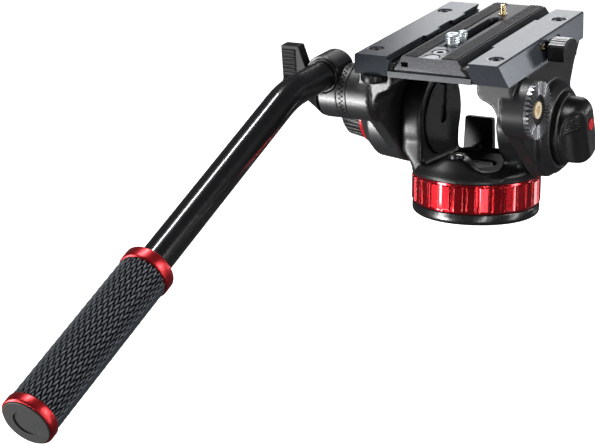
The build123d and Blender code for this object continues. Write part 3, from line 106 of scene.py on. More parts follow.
class Shader:
    """One procedural material: a principled shader with helpers for its noise and bump."""

    def __init__(self, name, color, roughness, metallic=0.0):
        self.material = bpy.data.materials.new(name)
        self.material.use_nodes = True
        self.tree = self.material.node_tree
        self.shader = self.tree.nodes["Principled BSDF"]
        self.color = color
        self.set("Base Color", (*color, 1.0))
        self.set("Roughness", roughness)
        self.set("Metallic", metallic)
        self.place = self.node("ShaderNodeTexCoord").outputs["Object"]

    def set(self, socket, value):
        self.shader.inputs[socket].default_value = value

    def node(self, kind):
        return self.tree.nodes.new(kind)

    def link(self, source, target):
        self.tree.links.new(source, target)

    def noise(self, size, detail=3.0, stretch=(1.0, 1.0, 1.0)):
        """Noise whose features are about size millimetres across."""
        mapping = self.node("ShaderNodeMapping")
        mapping.inputs["Scale"].default_value = stretch
        self.link(self.place, mapping.inputs["Vector"])
        noise = self.node("ShaderNodeTexNoise")
        noise.inputs["Scale"].default_value = 1 / (size * MM)
        noise.inputs["Detail"].default_value = detail
        self.link(mapping.outputs["Vector"], noise.inputs["Vector"])
        return noise.outputs["Fac"]

    def relief(self):
        """The relief values of the mesh."""
        attribute = self.node("ShaderNodeAttribute")
        attribute.attribute_name = "relief"
        return attribute.outputs["Fac"]

    def ranged(self, source, low, high):
        spread = self.node("ShaderNodeMapRange")
        spread.inputs["From Min"].default_value = DRIVE_LOW
        spread.inputs["From Max"].default_value = DRIVE_HIGH
        spread.inputs["To Min"].default_value = low
        spread.inputs["To Max"].default_value = high
        self.link(source, spread.inputs["Value"])
        return spread.outputs["Result"]

    def tint(self, source, low, high):
        """Varies the base colour between two multiples of itself."""
        mix = self.node("ShaderNodeMix")
        mix.data_type = "RGBA"
        mix.inputs["A"].default_value = (*[min(1.0, c * low) for c in self.color], 1.0)
        mix.inputs["B"].default_value = (*[min(1.0, c * high) for c in self.color], 1.0)
        self.link(self.ranged(source, 0.0, 1.0), mix.inputs["Factor"])
        self.link(mix.outputs["Result"], self.shader.inputs["Base Color"])

    def drive(self, socket, source, low, high):
        """Varies a value of the shader between two values."""
        self.link(self.ranged(source, low, high), self.shader.inputs[socket])

    def rough(self, source, low, high):
        self.drive("Roughness", source, low, high)

    def bump(self, source, height, strength):
        """A relief in the shading alone; height is in millimetres."""
        bump = self.node("ShaderNodeBump")
        bump.inputs["Distance"].default_value = height * MM
        bump.inputs["Strength"].default_value = strength
        self.link(source, bump.inputs["Height"])
        self.link(bump.outputs["Normal"], self.shader.inputs["Normal"])

    def coat(self, weight, roughness):
        self.set("Coat Weight", weight)
        self.set("Coat Roughness", roughness)


def cast_paint():
    """Fine-textured black paint of the castings."""
    made = Shader("cast_paint", (0.0050, 0.0052, 0.0056), 0.38)
    made.set("Specular IOR Level", 0.45)
    made.tint(made.noise(10), 0.85, 1.2)
    made.rough(made.noise(1.4), 0.32, 0.42)
    made.bump(made.noise(0.7, 3), 0.05, 0.45)
    return made.material


def recess_painted_shade():
    """Matt black painted as shade on the housing's deep recess between its arms, and on the drag unit seen
    through it.
    """
    made = Shader("recess_painted_shade", (0.003, 0.003, 0.0033), 0.6)
    made.set("Specular IOR Level", 0.12)
    made.tint(made.noise(2), 0.8, 1.3)
    made.bump(made.noise(0.7, 3), 0.05, 0.5)
    return made.material


def cup_paint():
    """Smooth gloss black of the base."""
    made = Shader("cup_paint", (0.0045, 0.0047, 0.005), 0.26)
    made.set("Specular IOR Level", 0.8)
    made.tint(made.noise(6), 0.85, 1.2)
    made.rough(made.noise(3), 0.24, 0.28)
    return made.material


def cheek_paint(name, gloss):
    """Black satin coating with a fine grain, of the cheeks, the clamp and the rings at the seam."""
    made = Shader(name, (0.011, 0.0113, 0.012), 0.36)
    made.set("Specular IOR Level", gloss)
    made.tint(made.noise(0.8, 3), 0.75, 1.3)
    made.rough(made.noise(1.2), 0.32, 0.44)
    made.bump(made.noise(1.0, 2), 0.06, 0.6)
    return made.material


def tooth_wear_and_shade():
    """The cheeks' coating, rubbed to bare metal on the tips of the teeth, with the roots between them
    darkened as painted shade.
    """
    made = Shader("tooth_wear_and_shade", (0.10, 0.102, 0.107), 0.3, 0.7)
    made.tint(made.relief(), 0.01, 2.7)
    made.rough(made.noise(0.8), 0.22, 0.38)
    made.bump(made.noise(0.5, 2), 0.03, 0.4)
    return made.material


def rail_coat():
    """Blue-grey satin coating of the rails."""
    made = Shader("rail_coat", (0.070, 0.079, 0.093), 0.3, 0.6)
    made.tint(made.noise(0.7, 3), 0.86, 1.14)
    made.rough(made.noise(1.5), 0.27, 0.33)
    made.bump(made.noise(0.9, 1), 0.012, 0.3)
    return made.material


def plate_coat():
    """Grey coating of the platform plate."""
    made = Shader("plate_coat", (0.022, 0.024, 0.028), 0.36, 0.3)
    made.tint(made.noise(0.8, 3), 0.85, 1.15)
    made.rough(made.noise(1.5), 0.32, 0.42)
    made.bump(made.noise(0.5, 2), 0.03, 0.4)
    return made.material


def slide_coat():
    """Dark anodised finish of the sliding plate, with a blasted grain."""
    made = Shader("slide_coat", (0.042, 0.043, 0.047), 0.42, 0.65)
    grain = made.noise(1.0, 3)
    made.tint(grain, 0.45, 1.6)
    made.rough(made.noise(1.0), 0.36, 0.5)
    made.bump(grain, 0.08, 0.6)
    return made.material


def red_anodised():
    """Polished red anodised metal with faint turning marks."""
    made = Shader("red_anodised", (0.46, 0.004, 0.010), 0.2, 0.9)
    turned = made.noise(0.35, 2, (0.25, 0.25, 1.0))
    made.tint(made.noise(7), 0.9, 1.1)
    made.rough(turned, 0.16, 0.24)
    made.coat(1.0, 0.08)
    return made.material


def red_satin():
    """Satin red anodised metal of the rings on the grip."""
    made = Shader("red_satin", (0.42, 0.004, 0.010), 0.34, 0.9)
    made.tint(made.noise(5), 0.92, 1.08)
    made.rough(made.noise(1.5), 0.32, 0.37)
    made.coat(0.5, 0.3)
    return made.material


def red_plastic():
    made = Shader("red_plastic", (0.45, 0.004, 0.012), 0.28)
    made.tint(made.noise(3), 0.92, 1.08)
    made.bump(made.noise(0.5), 0.02, 0.25)
    made.coat(0.4, 0.12)
    return made.material


def steel():
    made = Shader("steel", (0.50, 0.51, 0.52), 0.26, 1.0)
    made.tint(made.noise(3), 0.85, 1.1)
    made.rough(made.noise(0.8), 0.2, 0.34)
    return made.material


def black_steel():
    """Black oxide finish of the screws, shafts and small fittings."""
    made = Shader("black_steel", (0.02, 0.02, 0.022), 0.3, 0.7)
    made.tint(made.noise(1.5), 0.8, 1.3)
    made.rough(made.noise(0.8), 0.26, 0.38)
    return made.material


def bright_cut():
    """Bare bright metal of a machined recess, with its turning marks."""
    made = Shader("bright_cut", (0.72, 0.74, 0.77), 0.22, 1.0)
    made.tint(made.noise(1.2), 0.85, 1.1)
    made.rough(made.noise(0.5, 2), 0.16, 0.3)
    return made.material


def zinc():
    """Bright zinc plating of the camera screws."""
    made = Shader("zinc", (0.74, 0.83, 0.86), 0.36, 0.8)
    made.tint(made.noise(1.2), 0.92, 1.08)
    made.rough(made.noise(0.6), 0.32, 0.42)
    return made.material


def brass():
    made = Shader("brass", (0.56, 0.42, 0.24), 0.28, 1.0)
    made.tint(made.noise(1.5), 0.85, 1.1)
    made.rough(made.noise(0.7), 0.18, 0.32)
    return made.material


def black_plastic():
    made = Shader("black_plastic", (0.006, 0.006, 0.0064), 0.34)
    made.set("Specular IOR Level", 0.4)
    made.tint(made.noise(6), 0.8, 1.3)
    made.rough(made.noise(1.4), 0.3, 0.42)
    made.bump(made.noise(0.6, 2), 0.03, 0.35)
    return made.material


def wing_plastic():
    """Dull black plastic of the clamp's wing knob."""
    made = Shader("wing_plastic", (0.004, 0.004, 0.0043), 0.42)
    made.set("Specular IOR Level", 0.16)
    made.tint(made.noise(5), 0.8, 1.3)
    made.bump(made.noise(0.6, 2), 0.03, 0.35)
    return made.material


def insert_brass():
    """Pale brass of the threaded inserts in the toothed rings."""
    made = Shader("insert_brass", (0.80, 0.66, 0.44), 0.4, 0.35)
    made.tint(made.noise(1.5), 0.85, 1.1)
    made.rough(made.noise(0.7), 0.35, 0.45)
    return made.material


def rib_highlight_paint():
    """Pale crests of the lever's ribs, painted on as a highlight."""
    made = Shader("rib_highlight_paint", (0.45, 0.45, 0.47), 0.4)
    made.tint(made.noise(1.0), 0.7, 1.3)
    made.rough(made.noise(0.8), 0.28, 0.4)
    return made.material


def gloss_paint():
    """Glossy black paint of the bar, with a faint orange peel."""
    made = Shader("gloss_paint", (0.005, 0.0052, 0.0056), 0.2)
    made.tint(made.noise(12), 0.85, 1.15)
    made.rough(made.noise(4), 0.18, 0.22)
    made.coat(0.5, 0.08)
    return made.material


def grip_rubber_painted_shade():
    """Dark rubber whose valleys are painted near black and without reflection as shade, so that the raised
    leaves stand paler.
    """
    made = Shader("grip_rubber_painted_shade", (0.040, 0.047, 0.057), 0.4)
    relief = made.relief()
    # The relief darkens the valleys to near black and takes out their reflection, as painted shade
    made.tint(relief, 0.01, 1.5)
    made.drive("Specular IOR Level", relief, 0.0, 0.6)
    made.rough(made.noise(0.9), 0.34, 0.46)
    made.bump(made.noise(0.35, 2), 0.03, 0.35)
    return made.material


def pad_rubber():
    made = Shader("pad_rubber", (0.014, 0.0145, 0.016), 0.5)
    made.tint(made.noise(0.8, 3), 0.7, 1.4)
    made.rough(made.noise(1.0), 0.44, 0.58)
    made.bump(made.noise(0.45, 3), 0.05, 0.6)
    return made.material


def light_strip():
    """Pale strip let into the sliding plate; its countersunk holes are painted black without reflection as
    shade, and their grooves dark and pale as painted shade and highlight.
    """
    made = Shader("light_strip", (0.30, 0.31, 0.335), 0.36, 0.8)
    relief = made.relief()
    made.tint(relief, 0.02, 1.15)
    # The relief takes the reflection out of the holes, as painted shade
    made.drive("Specular IOR Level", relief, 0.0, 1.4)
    made.drive("Metallic", relief, 0.0, 1.4)
    made.rough(made.noise(0.5, 3, (1.0, 0.1, 1.0)), 0.26, 0.38)
    made.bump(made.noise(0.6, 2), 0.01, 0.3)
    return made.material


def cap_rubber():
    made = Shader("cap_rubber", (0.022, 0.0213, 0.0213), 0.55)
    made.set("Specular IOR Level", 0.2)
    made.tint(made.noise(1.2), 0.85, 1.15)
    made.rough(made.noise(1.0), 0.44, 0.56)
    made.bump(made.noise(0.5, 2), 0.03, 0.4)
    return made.material


def vial_glass():
    made = Shader("vial_glass", (0.20, 0.26, 0.08), 0.05)
    made.tint(made.noise(2), 0.9, 1.1)
    made.set("Transmission Weight", 0.5)
    made.set("IOR", 1.45)
    made.set("Coat Weight", 0.6)
    return made.material


FINISHES = {
    cast_paint: ["left_arm_cover", "right_arm_cover"],
    cup_paint: ["base_cup"],
    rail_coat: ["right_rail"],
    plate_coat: ["platform_plate"],
    slide_coat: ["sliding_plate", "tilt_drag_cartridge", "balance_unit"],
    # The drag unit, seen through the recess, gets the same matt black as painted shade
    recess_painted_shade: ["pan_drag_unit"],
    red_anodised: ["pan_drag_ring"],
    red_satin: ["upper_grip_ring", "lower_grip_ring"],
    red_plastic: ["tilt_drag_red", "tilt_lock_cap"],
    steel: ["base_screws", "lever_pin", "clamp_bolt"],
    black_steel: [
        "arm_cover_screws",
        "pan_spindle",
        "pan_nut",
        "left_tilt_shaft",
        "right_tilt_shaft",
        "cheek_screws",
        "rail_screws",
        "button_collar",
        "large_screw_clip",
        "small_screw_clip",
        "level_bezel",
    ],
    brass: ["tripod_bush", "video_pin", "release_button"],
    insert_brass: ["left_insert", "right_insert"],
    black_plastic: [
        "thrust_washer",
        "pan_lock_lever",
        "left_end_block",
        "plate_guide",
        "plate_gib",
        "plate_lock_lever",
        "tilt_drag_knob",
        "clamp_spacer",
        "tube_collar",
    ],
    gloss_paint: ["bar_tube"],
    pad_rubber: ["plate_pads"],
    cap_rubber: ["end_cap"],
    vial_glass: ["level_vial"],
}

# Width of the rounded edges, in millimetres, where it isn't the usual one
EDGE = 0.35
EDGES = {
    "right_rail": 0.7,
    "platform_plate": 0.5,
    "base_cup": 0.7,
    "plate_pads": 0.12,
    "rail_screws": 0.2,
    "thrust_washer": 0.05,
    "level_vial": 0.0,
    "bar_tube": 0.0,
    "large_screw_clip": 0.1,
    "small_screw_clip": 0.1,
    "arm_cover_screws": 0.1,
}
# Edges that turn by more than this are rounded
EDGE_TURN = math.radians(28)
EDGE_SEGMENTS = 2
# Points nearer to each other than this are one
WELD_DISTANCE = 0.002 * MM


def weld_points(piece):
    weld = piece.modifiers.new("weld", "WELD")
    weld.merge_threshold = WELD_DISTANCE


def round_edges(piece, width):
    weld_points(piece)
    bevel = piece.modifiers.new("edge", "BEVEL")
    bevel.limit_method = "ANGLE"
    bevel.angle_limit = EDGE_TURN
    bevel.width = width * MM
    bevel.segments = EDGE_SEGMENTS
    bevel.harden_normals = True


def dress(node, material):
    """Gives a carried-over piece its material and softly rounded edges."""
    piece = nodes[node]
    piece.data.materials.clear()
    piece.data.materials.append(material)
    width = EDGES.get(node, EDGE)
    if width:
        round_edges(piece, width)


def dress_nodes():
    for finish, names in FINISHES.items():
        material = finish()
        for name in names:
            dress(name, material)


# New pieces


def linked(name, data):
    """A new object in the scene."""
    made = bpy.data.objects.new(name, data)
    bpy.context.scene.collection.objects.link(made)
    return made


def placed(name, mesh, material, body):
    """A new piece that rides on a body."""
    made = linked(name, mesh)
    mesh.materials.clear()
    mesh.materials.append(material)
    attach(made, body)
    return made


def evaluated_mesh(obj):
    graph = bpy.context.evaluated_depsgraph_get()
    return bpy.data.meshes.new_from_object(obj.evaluated_get(graph))


def smoothed(mesh, angle):
    """Smooth shading, but for edges sharper than the angle in degrees."""
    shape = bmesh.new()
    shape.from_mesh(mesh)
    for face in shape.faces:
        face.smooth = True
    for edge in shape.edges:
        edge.smooth = len(edge.link_faces) == 2 and edge.calc_face_angle(0.0) < math.radians(angle)
    shape.to_mesh(mesh)
    shape.free()


def finished_mesh(name, shape):
    """A mesh of a closed shape, with its faces turned outward."""
    bmesh.ops.recalc_face_normals(shape, faces=shape.faces)
    mesh = bpy.data.meshes.new(name)
    shape.to_mesh(mesh)
    shape.free()
    return mesh


# Castings, remeshed so that their faces flow into each other

SMOOTH_FACTOR = 0.5
# Half depth of the right arm's near side at heights in millimetres, and the share that is kept
ARM_NECK = ((34, 1.0), (39, 0.62), (44, 0.60), (50, 0.76), (58, 0.9), (68, 1.0))
# The arm's inner side, and how far outward the narrowing comes in
ARM_INSIDE = 24
ARM_FADE = 4
# Wide blends of the housing: (lowest corner, highest corner, width of the fade)
ARM_ZONES = (
    ((-60, -40, 33), (-22, 40, 104), 4),
    ((22, -40, 33), (60, 40, 104), 4),
    ((-26, -50, 36), (26, -20, 60), 5),
)
ARM_ROUNDS = 45
# Lowest and highest corner of the recess between the housing's arms, whose faces are painted matt black as
# shade
RECESS_LOW = (-26, -21, 30)
RECESS_HIGH = (26, 42, 60)
# Faces that look down more than this aren't part of the recess
RECESS_LOOK = -0.2


def remeshed(node, voxel, rounds):
    """A copy of a node's mesh with rounded edges; voxel is its grain in millimetres."""
    copy = linked("copy", nodes[node].data.copy())
    weld_points(copy)
    remesh = copy.modifiers.new("remesh", "REMESH")
    remesh.mode = "VOXEL"
    remesh.voxel_size = voxel * MM
    smooth = copy.modifiers.new("smooth", "SMOOTH")
    smooth.factor = SMOOTH_FACTOR
    smooth.iterations = rounds
    mesh = evaluated_mesh(copy)
    bpy.data.objects.remove(copy)
    return mesh


def neck_share(height):
    for (low, share_low), (high, share_high) in zip(ARM_NECK, ARM_NECK[1:]):
        if low <= height <= high:
            return share_low + (share_high - share_low) * (height - low) / (high - low)
    return 1.0


def narrow_right_arm(mesh):
    """Draws in the near side of the right arm below the tilt axis."""
    for vertex in mesh.vertices:
        x, y, z = (value / MM for value in vertex.co)
        if x > ARM_INSIDE and y < 0:
            fade = min(1.0, (x - ARM_INSIDE) / ARM_FADE)
            share = 1 - fade * (1 - neck_share(z))
            vertex.co.y = y * share * MM


def blend_weight(point):
    """How strongly a point is smoothed: 1 inside a zone, falling to 0 at its edge."""
    weight = 0.0
    for low, high, fade in ARM_ZONES:
        inside = min(min(p - a * MM, b * MM - p) for p, a, b in zip(point, low, high))
        weight = max(weight, min(1.0, max(0.0, inside / (fade * MM))))
    return weight


def shape_arms(mesh):
    """The housing's mesh with a narrower right arm and wide blends at its arms."""
    narrow_right_arm(mesh)
    copy = linked("blend", mesh)
    group = copy.vertex_groups.new(name="blend")
    for vertex in mesh.vertices:
        weight = blend_weight(vertex.co)
        if weight:
            group.add([vertex.index], weight, "REPLACE")
    blend = copy.modifiers.new("blend", "SMOOTH")
    blend.factor = SMOOTH_FACTOR
    blend.iterations = ARM_ROUNDS
    blend.vertex_group = "blend"
    softened = evaluated_mesh(copy)
    bpy.data.objects.remove(copy)
    return softened


# The recess's faces get a second, matt black material as painted shade
def paint_recess_shade(mesh):
    mesh.materials.append(recess_painted_shade())
    for face in mesh.polygons:
        place = [value / MM for value in face.center]
        inside = all(low < p < high for low, p, high in zip(RECESS_LOW, place, RECESS_HIGH))
        if inside and face.normal.z > RECESS_LOOK:
            face.material_index = 1


def soft_casting(node, body, material, voxel, rounds, shape=None):
    """A remeshed copy of a casting in its place; shape makes a further change to its mesh."""
    mesh = remeshed(node, voxel, rounds)
    if shape:
        mesh = shape(mesh)
    mesh.polygons.foreach_set("use_smooth", [True] * len(mesh.polygons))
    made = placed(node + "_cast", mesh, material, body)
    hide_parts(node)
    return mesh


def castings():
    cheek = cheek_paint("cheek_paint", 0.9)
    # The right cheek gets a duller copy of the same paint so that it looks darker, as painted shade
    shaded_cheek_copy = cheek_paint("right_cheek_shaded_copy", 0.35)
    housing = soft_casting("pan_housing", "pan_body", cast_paint(), 0.8, 6, shape_arms)
    paint_recess_shade(housing)
    soft_casting("left_cheek", "tilt_body", cheek, 0.7, 8)
    soft_casting("right_cheek", "tilt_body", shaded_cheek_copy, 0.7, 8)
    soft_casting("bar_clamp", "pan_bar", cheek, 0.6, 6)
    soft_casting("tilt_lock_knob", "lock_knob", black_plastic(), 0.5, 5)
    soft_casting("clamp_knob", "bar_knob", wing_plastic(), 0.4, 2)


# Meshes that close on themselves in both directions

RING_WELD = 0.0005 * MM


def ring_mesh(name, profiles, relief=None):
    """A closed mesh through closed profiles that go once round; relief is a value for each point."""
    count = len(profiles)
    size = len(profiles[0])
    points = [tuple(point) for profile in profiles for point in profile]
    faces = []
    for i in range(count):
        after = (i + 1) % count
        for j in range(size):
            k = (j + 1) % size
            faces.append((i * size + j, after * size + j, after * size + k, i * size + k))
    mesh = bpy.data.meshes.new(name)
    mesh.from_pydata(points, [], faces)
    if relief is not None:
        layer = mesh.attributes.new("relief", "FLOAT", "POINT")
        layer.data.foreach_set("value", [value for row in relief for value in row])
    shape = bmesh.new()
    shape.from_mesh(mesh)
    bmesh.ops.remove_doubles(shape, verts=shape.verts, dist=RING_WELD)
    bmesh.ops.recalc_face_normals(shape, faces=shape.faces)
    shape.to_mesh(mesh)
    shape.free()
    return mesh


# Grip

# The bar's drop below the level platform, the corner where its straight run starts, and the run's length
BAR_DROP = math.radians(18.9)
BAR_CORNER = (-113.4, 108.6)
BAR_LENGTH = 314
BAR_LOW, BAR_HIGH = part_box("bar_tube")
BAR_X = (BAR_LOW[0] + BAR_HIGH[0]) / 2 / MM
# The grip's ends, measured from the bar's free end, and its radii
GRIP_LOW = 7
GRIP_HIGH = 125
GRIP_RADIUS = 16.0
GRIP_BORE = 10.4
GRIP_AROUND = 384
GRIP_ALONG = 300
# The leaves stand in columns along the grip, and lean to one side and the other by turns
LEAF_COLUMNS = 50
LEAF_PITCH = 6.4
LEAF_HALF_LENGTH = 3.7
LEAF_HALF_WIDTH = 0.72
LEAF_TILT = math.radians(11)
LEAF_HEIGHT = 0.95
# The painted shade reaches up a leaf's sides, so its pale crest is narrower than the leaf
LEAF_SHADING = 1.5
# The bare band along the grip, and how high it stands beside the leaves
BARE_CENTRE = math.radians(-28)
BARE_HALF = math.radians(15)
BARE_FADE = math.radians(3)
BARE_HEIGHT = 0.62


def bar_place(distance, angle, radius):
    """A point round the bar's straight run; distance is in millimetres from its free end."""
    run = BAR_LENGTH - distance
    y = BAR_CORNER[0] - run * math.cos(BAR_DROP)
    z = BAR_CORNER[1] - run * math.sin(BAR_DROP)
    across = radius * math.cos(angle)
    up = radius * math.sin(angle)
    x = BAR_X + across
    return level(x, y - up * math.sin(BAR_DROP), z + up * math.cos(BAR_DROP))


def leaf_height(column_place, along):
    """Height of the leaf relief, from 0 in the valleys to 1 on the ridges."""
    pitch_across = 2 * math.pi * GRIP_RADIUS / LEAF_COLUMNS
    best = 0.0
    first = math.floor(column_place)
    for column in (first, first + 1):
        shift = 0.5 if column % 2 else 0.0
        lean = LEAF_TILT if column % 2 else -LEAF_TILT
        across = (column_place - column) * pitch_across
        row = round(along / LEAF_PITCH - shift)
        for near_row in (row - 1, row, row + 1):
            up = along - (near_row + shift) * LEAF_PITCH
            a = across * math.cos(lean) + up * math.sin(lean)
            b = up * math.cos(lean) - across * math.sin(lean)
            reach = 1 - (a / LEAF_HALF_WIDTH) ** 2 - (b / LEAF_HALF_LENGTH) ** 2
            if reach > best:
                best = reach
    return math.sqrt(best)


def grip():
    profiles = []
    relief = []
    for i in range(GRIP_AROUND):
        angle = 2 * math.pi * i / GRIP_AROUND
        away = abs(math.remainder(angle - BARE_CENTRE, 2 * math.pi))
        leaves = min(1.0, max(0.0, (away - BARE_HALF) / BARE_FADE))
        profile = []
        row = []
        for j in range(GRIP_ALONG + 1):
            along = GRIP_LOW + (GRIP_HIGH - GRIP_LOW) * j / GRIP_ALONG
            height = leaf_height(LEAF_COLUMNS * i / GRIP_AROUND, along)
            height = leaves * height + (1 - leaves) * BARE_HEIGHT
            if j in (0, GRIP_ALONG):
                height = 0.0
            profile.append(bar_place(along, angle, GRIP_RADIUS - LEAF_HEIGHT * (1 - height)))
            row.append(relief_value(height ** LEAF_SHADING))
        for along in (GRIP_HIGH, GRIP_LOW):
            profile.append(bar_place(along, angle, GRIP_BORE))
            row.append(relief_value(0))
        profiles.append(profile)
        relief.append(row)
    mesh = ring_mesh("grip_leaves", profiles, relief)
    smoothed(mesh, 50)
    made = placed("grip_leaves", mesh, grip_rubber_painted_shade(), "pan_bar")
    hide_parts("grip")


# Toothed rings

# Their axis as (y, z)
ROSETTE_PLACE = (-50.9, 94.4)
ROSETTE_RADIUS = 19.15
ROSETTE_BORE = 10.0
ROSETTE_DEPTH = 3.2
TEETH = 36
TOOTH_SAMPLES = 12
# Height at which a tooth's wave is cut flat, and the steepness of its flanks
TOOTH_FLAT = 0.9
TOOTH_SLOPE = 1.08
# Radii across the teeth and the share of their height there
TOOTH_SECTION = ((ROSETTE_BORE, 0.4), (ROSETTE_RADIUS - 0.35, 0.98), (ROSETTE_RADIUS, 0.86))
RING_BACK_SHADE = 0.375
# The two rings at the seam stand a little apart, with deeper teeth than the right one
SEAM_GAP = 1.3
SEAM_SWING = 1.7
RIGHT_SWING = 1.5


def tooth_wave(share):
    """A tooth's height, from -1 to 1, by the share of a pitch; its tip and root are a little flat."""
    away = abs((share % 1.0) - 0.5) * 4 - 1
    return max(-TOOTH_FLAT, min(TOOTH_FLAT, away * TOOTH_SLOPE))


def toothed_ring(node, body, face, toward, phase, material, gap, swing):
    """A ring whose teeth stand up by swing to each side of its face; toward is +1 when they point to +X."""
    count = TEETH * TOOTH_SAMPLES
    back = face - toward * ROSETTE_DEPTH
    y, z = ROSETTE_PLACE
    profiles = []
    relief = []
    for i in range(count):
        angle = 2 * math.pi * i / count
        wave = tooth_wave(i / TOOTH_SAMPLES + phase)
        # A tooth's value pales its rubbed tip and darkens its root as painted shade, where the ring's paint
        # reads it
        tip = relief_value((wave + TOOTH_FLAT) / (2 * TOOTH_FLAT))
        low = relief_value(RING_BACK_SHADE)
        relief.append((tip, tip, tip, low, low))
        profile = [(r, face + toward * (swing * wave * share - gap / 2)) for r, share in TOOTH_SECTION]
        profile.append((ROSETTE_RADIUS, back))
        profile.append((ROSETTE_BORE, back))
        profiles.append([level(x, y + r * math.cos(angle), z + r * math.sin(angle)) for r, x in profile])
    mesh = ring_mesh(node + "_teeth", profiles, relief)
    smoothed(mesh, 32)
    made = placed(node + "_teeth", mesh, material, body)
    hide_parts(node)


def toothed_rings():
    paint = cheek_paint("ring_paint", 0.9)
    teeth_wear_and_shade = tooth_wear_and_shade()
    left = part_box("left_rosette")
    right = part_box("right_rosette")
    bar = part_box("bar_rosette")
    seam = (left[0][0] + bar[1][0]) / 2 / MM
    right_face = right[1][0] / MM - RIGHT_SWING
    toothed_ring("left_rosette", "tilt_body", seam, -1, 0.0, paint, SEAM_GAP, SEAM_SWING)
    toothed_ring("bar_rosette", "pan_bar", seam, 1, 0.5, paint, SEAM_GAP, SEAM_SWING)
    toothed_ring("right_rosette", "tilt_body", right_face, 1, 0.0, teeth_wear_and_shade, 0.0, RIGHT_SWING)


# Camera screws

# (node, body, y, thread radius, shank radius, head radius, pitch)
CAMERA_SCREWS = (
    ("large_camera_screw", "large_screw", -35.6, 4.76, 4.0, 8.2, 1.588),
    ("small_camera_screw", "small_screw", -19.7, 3.175, 2.6, 7.0, 1.27),
)
SCREW_AROUND = 64
SCREW_HEAD = 3.4
HEAD_EDGE = 0.4
# Round recess in the head's underside: its share of the head's radius, and its depth
HEAD_RECESS = 0.3
RECESS_DEPTH = 0.8
# Level height where the threads start
THREAD_LOW = 130.5
THREAD_RAMP = 0.2
THREAD_TIP = 0.9
# Thread depth and top socket radius as shares of the thread radius
THREAD_DEPTH = 0.05
SOCKET = 0.34
SOCKET_EDGE = 0.3
SOCKET_TAPER = 0.9
SOCKET_WALL = 0.6
SOCKET_DEPTH = 0.7
# Samples of a thread's wave in one pitch, and samples over which it fades at each end
THREAD_SAMPLES = 8
THREAD_FADE = 3


def screw_profile(angle, sections, pitch, depth):
    """The half profile of a screw at an angle; sections are (radius, height, threaded)."""
    profile = []
    for (r_low, z_low, _), (r_high, z_high, threaded) in zip(sections, sections[1:]):
        steps = max(1, int((z_high - z_low) / (pitch / THREAD_SAMPLES))) if threaded else 1
        for step in range(steps):
            z = z_low + (z_high - z_low) * step / steps
            radius = r_low + (r_high - r_low) * step / steps
            if threaded:
                turn = z / pitch - angle / (2 * math.pi)
                fade = min(1.0, step / THREAD_FADE, (steps - step) / THREAD_FADE)
                radius -= depth * fade * (0.5 + 0.5 * math.cos(2 * math.pi * turn))
            profile.append((radius, z))
    last = sections[-1]
    profile.append((last[0], last[1]))
    return profile


def camera_screw(node, body, y, radius, shank, head, pitch):
    low, high = level_reach(node)
    head_top = low + SCREW_HEAD
    socket = radius * SOCKET
    sections = [
        (0, low + RECESS_DEPTH, False),
        (head * HEAD_RECESS, low + RECESS_DEPTH, False),
        (head * HEAD_RECESS, low, False),
        (head - HEAD_EDGE, low, False),
        (head, low + HEAD_EDGE, False),
        (head, head_top - HEAD_EDGE, False),
        (head - HEAD_EDGE, head_top, False),
        (shank, head_top, False),
        (shank, THREAD_LOW, False),
        (radius, THREAD_LOW + THREAD_RAMP, False),
        (radius, high - THREAD_TIP, True),
        (radius - THREAD_TIP, high, False),
        (socket + SOCKET_EDGE, high, False),
        (socket, high - SOCKET_EDGE, False),
        (socket * SOCKET_TAPER, high - SOCKET_WALL, False),
        (0, high - SOCKET_DEPTH, False),
    ]
    profiles = []
    for i in range(SCREW_AROUND):
        angle = 2 * math.pi * i / SCREW_AROUND
        profile = screw_profile(angle, sections, pitch, radius * THREAD_DEPTH)
        profiles.append([level(r * math.cos(angle), y + r * math.sin(angle), z) for r, z in profile])
    mesh = ring_mesh(node + "_turned", profiles)
    smoothed(mesh, 35)
    made = placed(node + "_turned", mesh, zinc(), body)
    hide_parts(node)


def camera_screws():
    for screw in CAMERA_SCREWS:
        camera_screw(*screw)


# Pale strip with its countersunk holes

# (y, radius of the rim, radius of the hole)
STRIP_HOLES = ((-55.2, 5.4, 2.5), (-67.6, 5.2, 0.0))
STRIP_NEAR = -71.3
STRIP_FAR = -44.0
STRIP_HALF = 8.4
STRIP_ACROSS = 84
STRIP_ALONG = 136
# Paleness of the strip beside its sinks, and depths of a hole, a sink and the groove round it
STRIP_SHADE = 0.36
HOLE_DEPTH = 0.42
SINK_DEPTH = 0.26
GROOVE_DEPTH = 0.3
GROOVE_HALF = 0.5


def dish(x, y):
    """Depth in millimetres and paleness of the strip at a point; holes are painted black as shade, and
    grooves dark as shade or pale as a highlight.
    """
    depth = 0.0
    pale = STRIP_SHADE
    for centre, rim, hole in STRIP_HOLES:
        away = math.hypot(x, y - centre)
        if away < hole:
            # A hole is painted black as shade
            return HOLE_DEPTH, 0.0
        if away < rim:
            depth = SINK_DEPTH
            pale = 1.0
        if abs(away - rim) < GROOVE_HALF:
            # A groove is painted dark as shade round a hole and on a plain sink's far side, and pale as a
            # highlight on its near side
            pale = 0.0 if (y > centre or hole) else 1.0
            depth = GROOVE_DEPTH
    return depth, pale


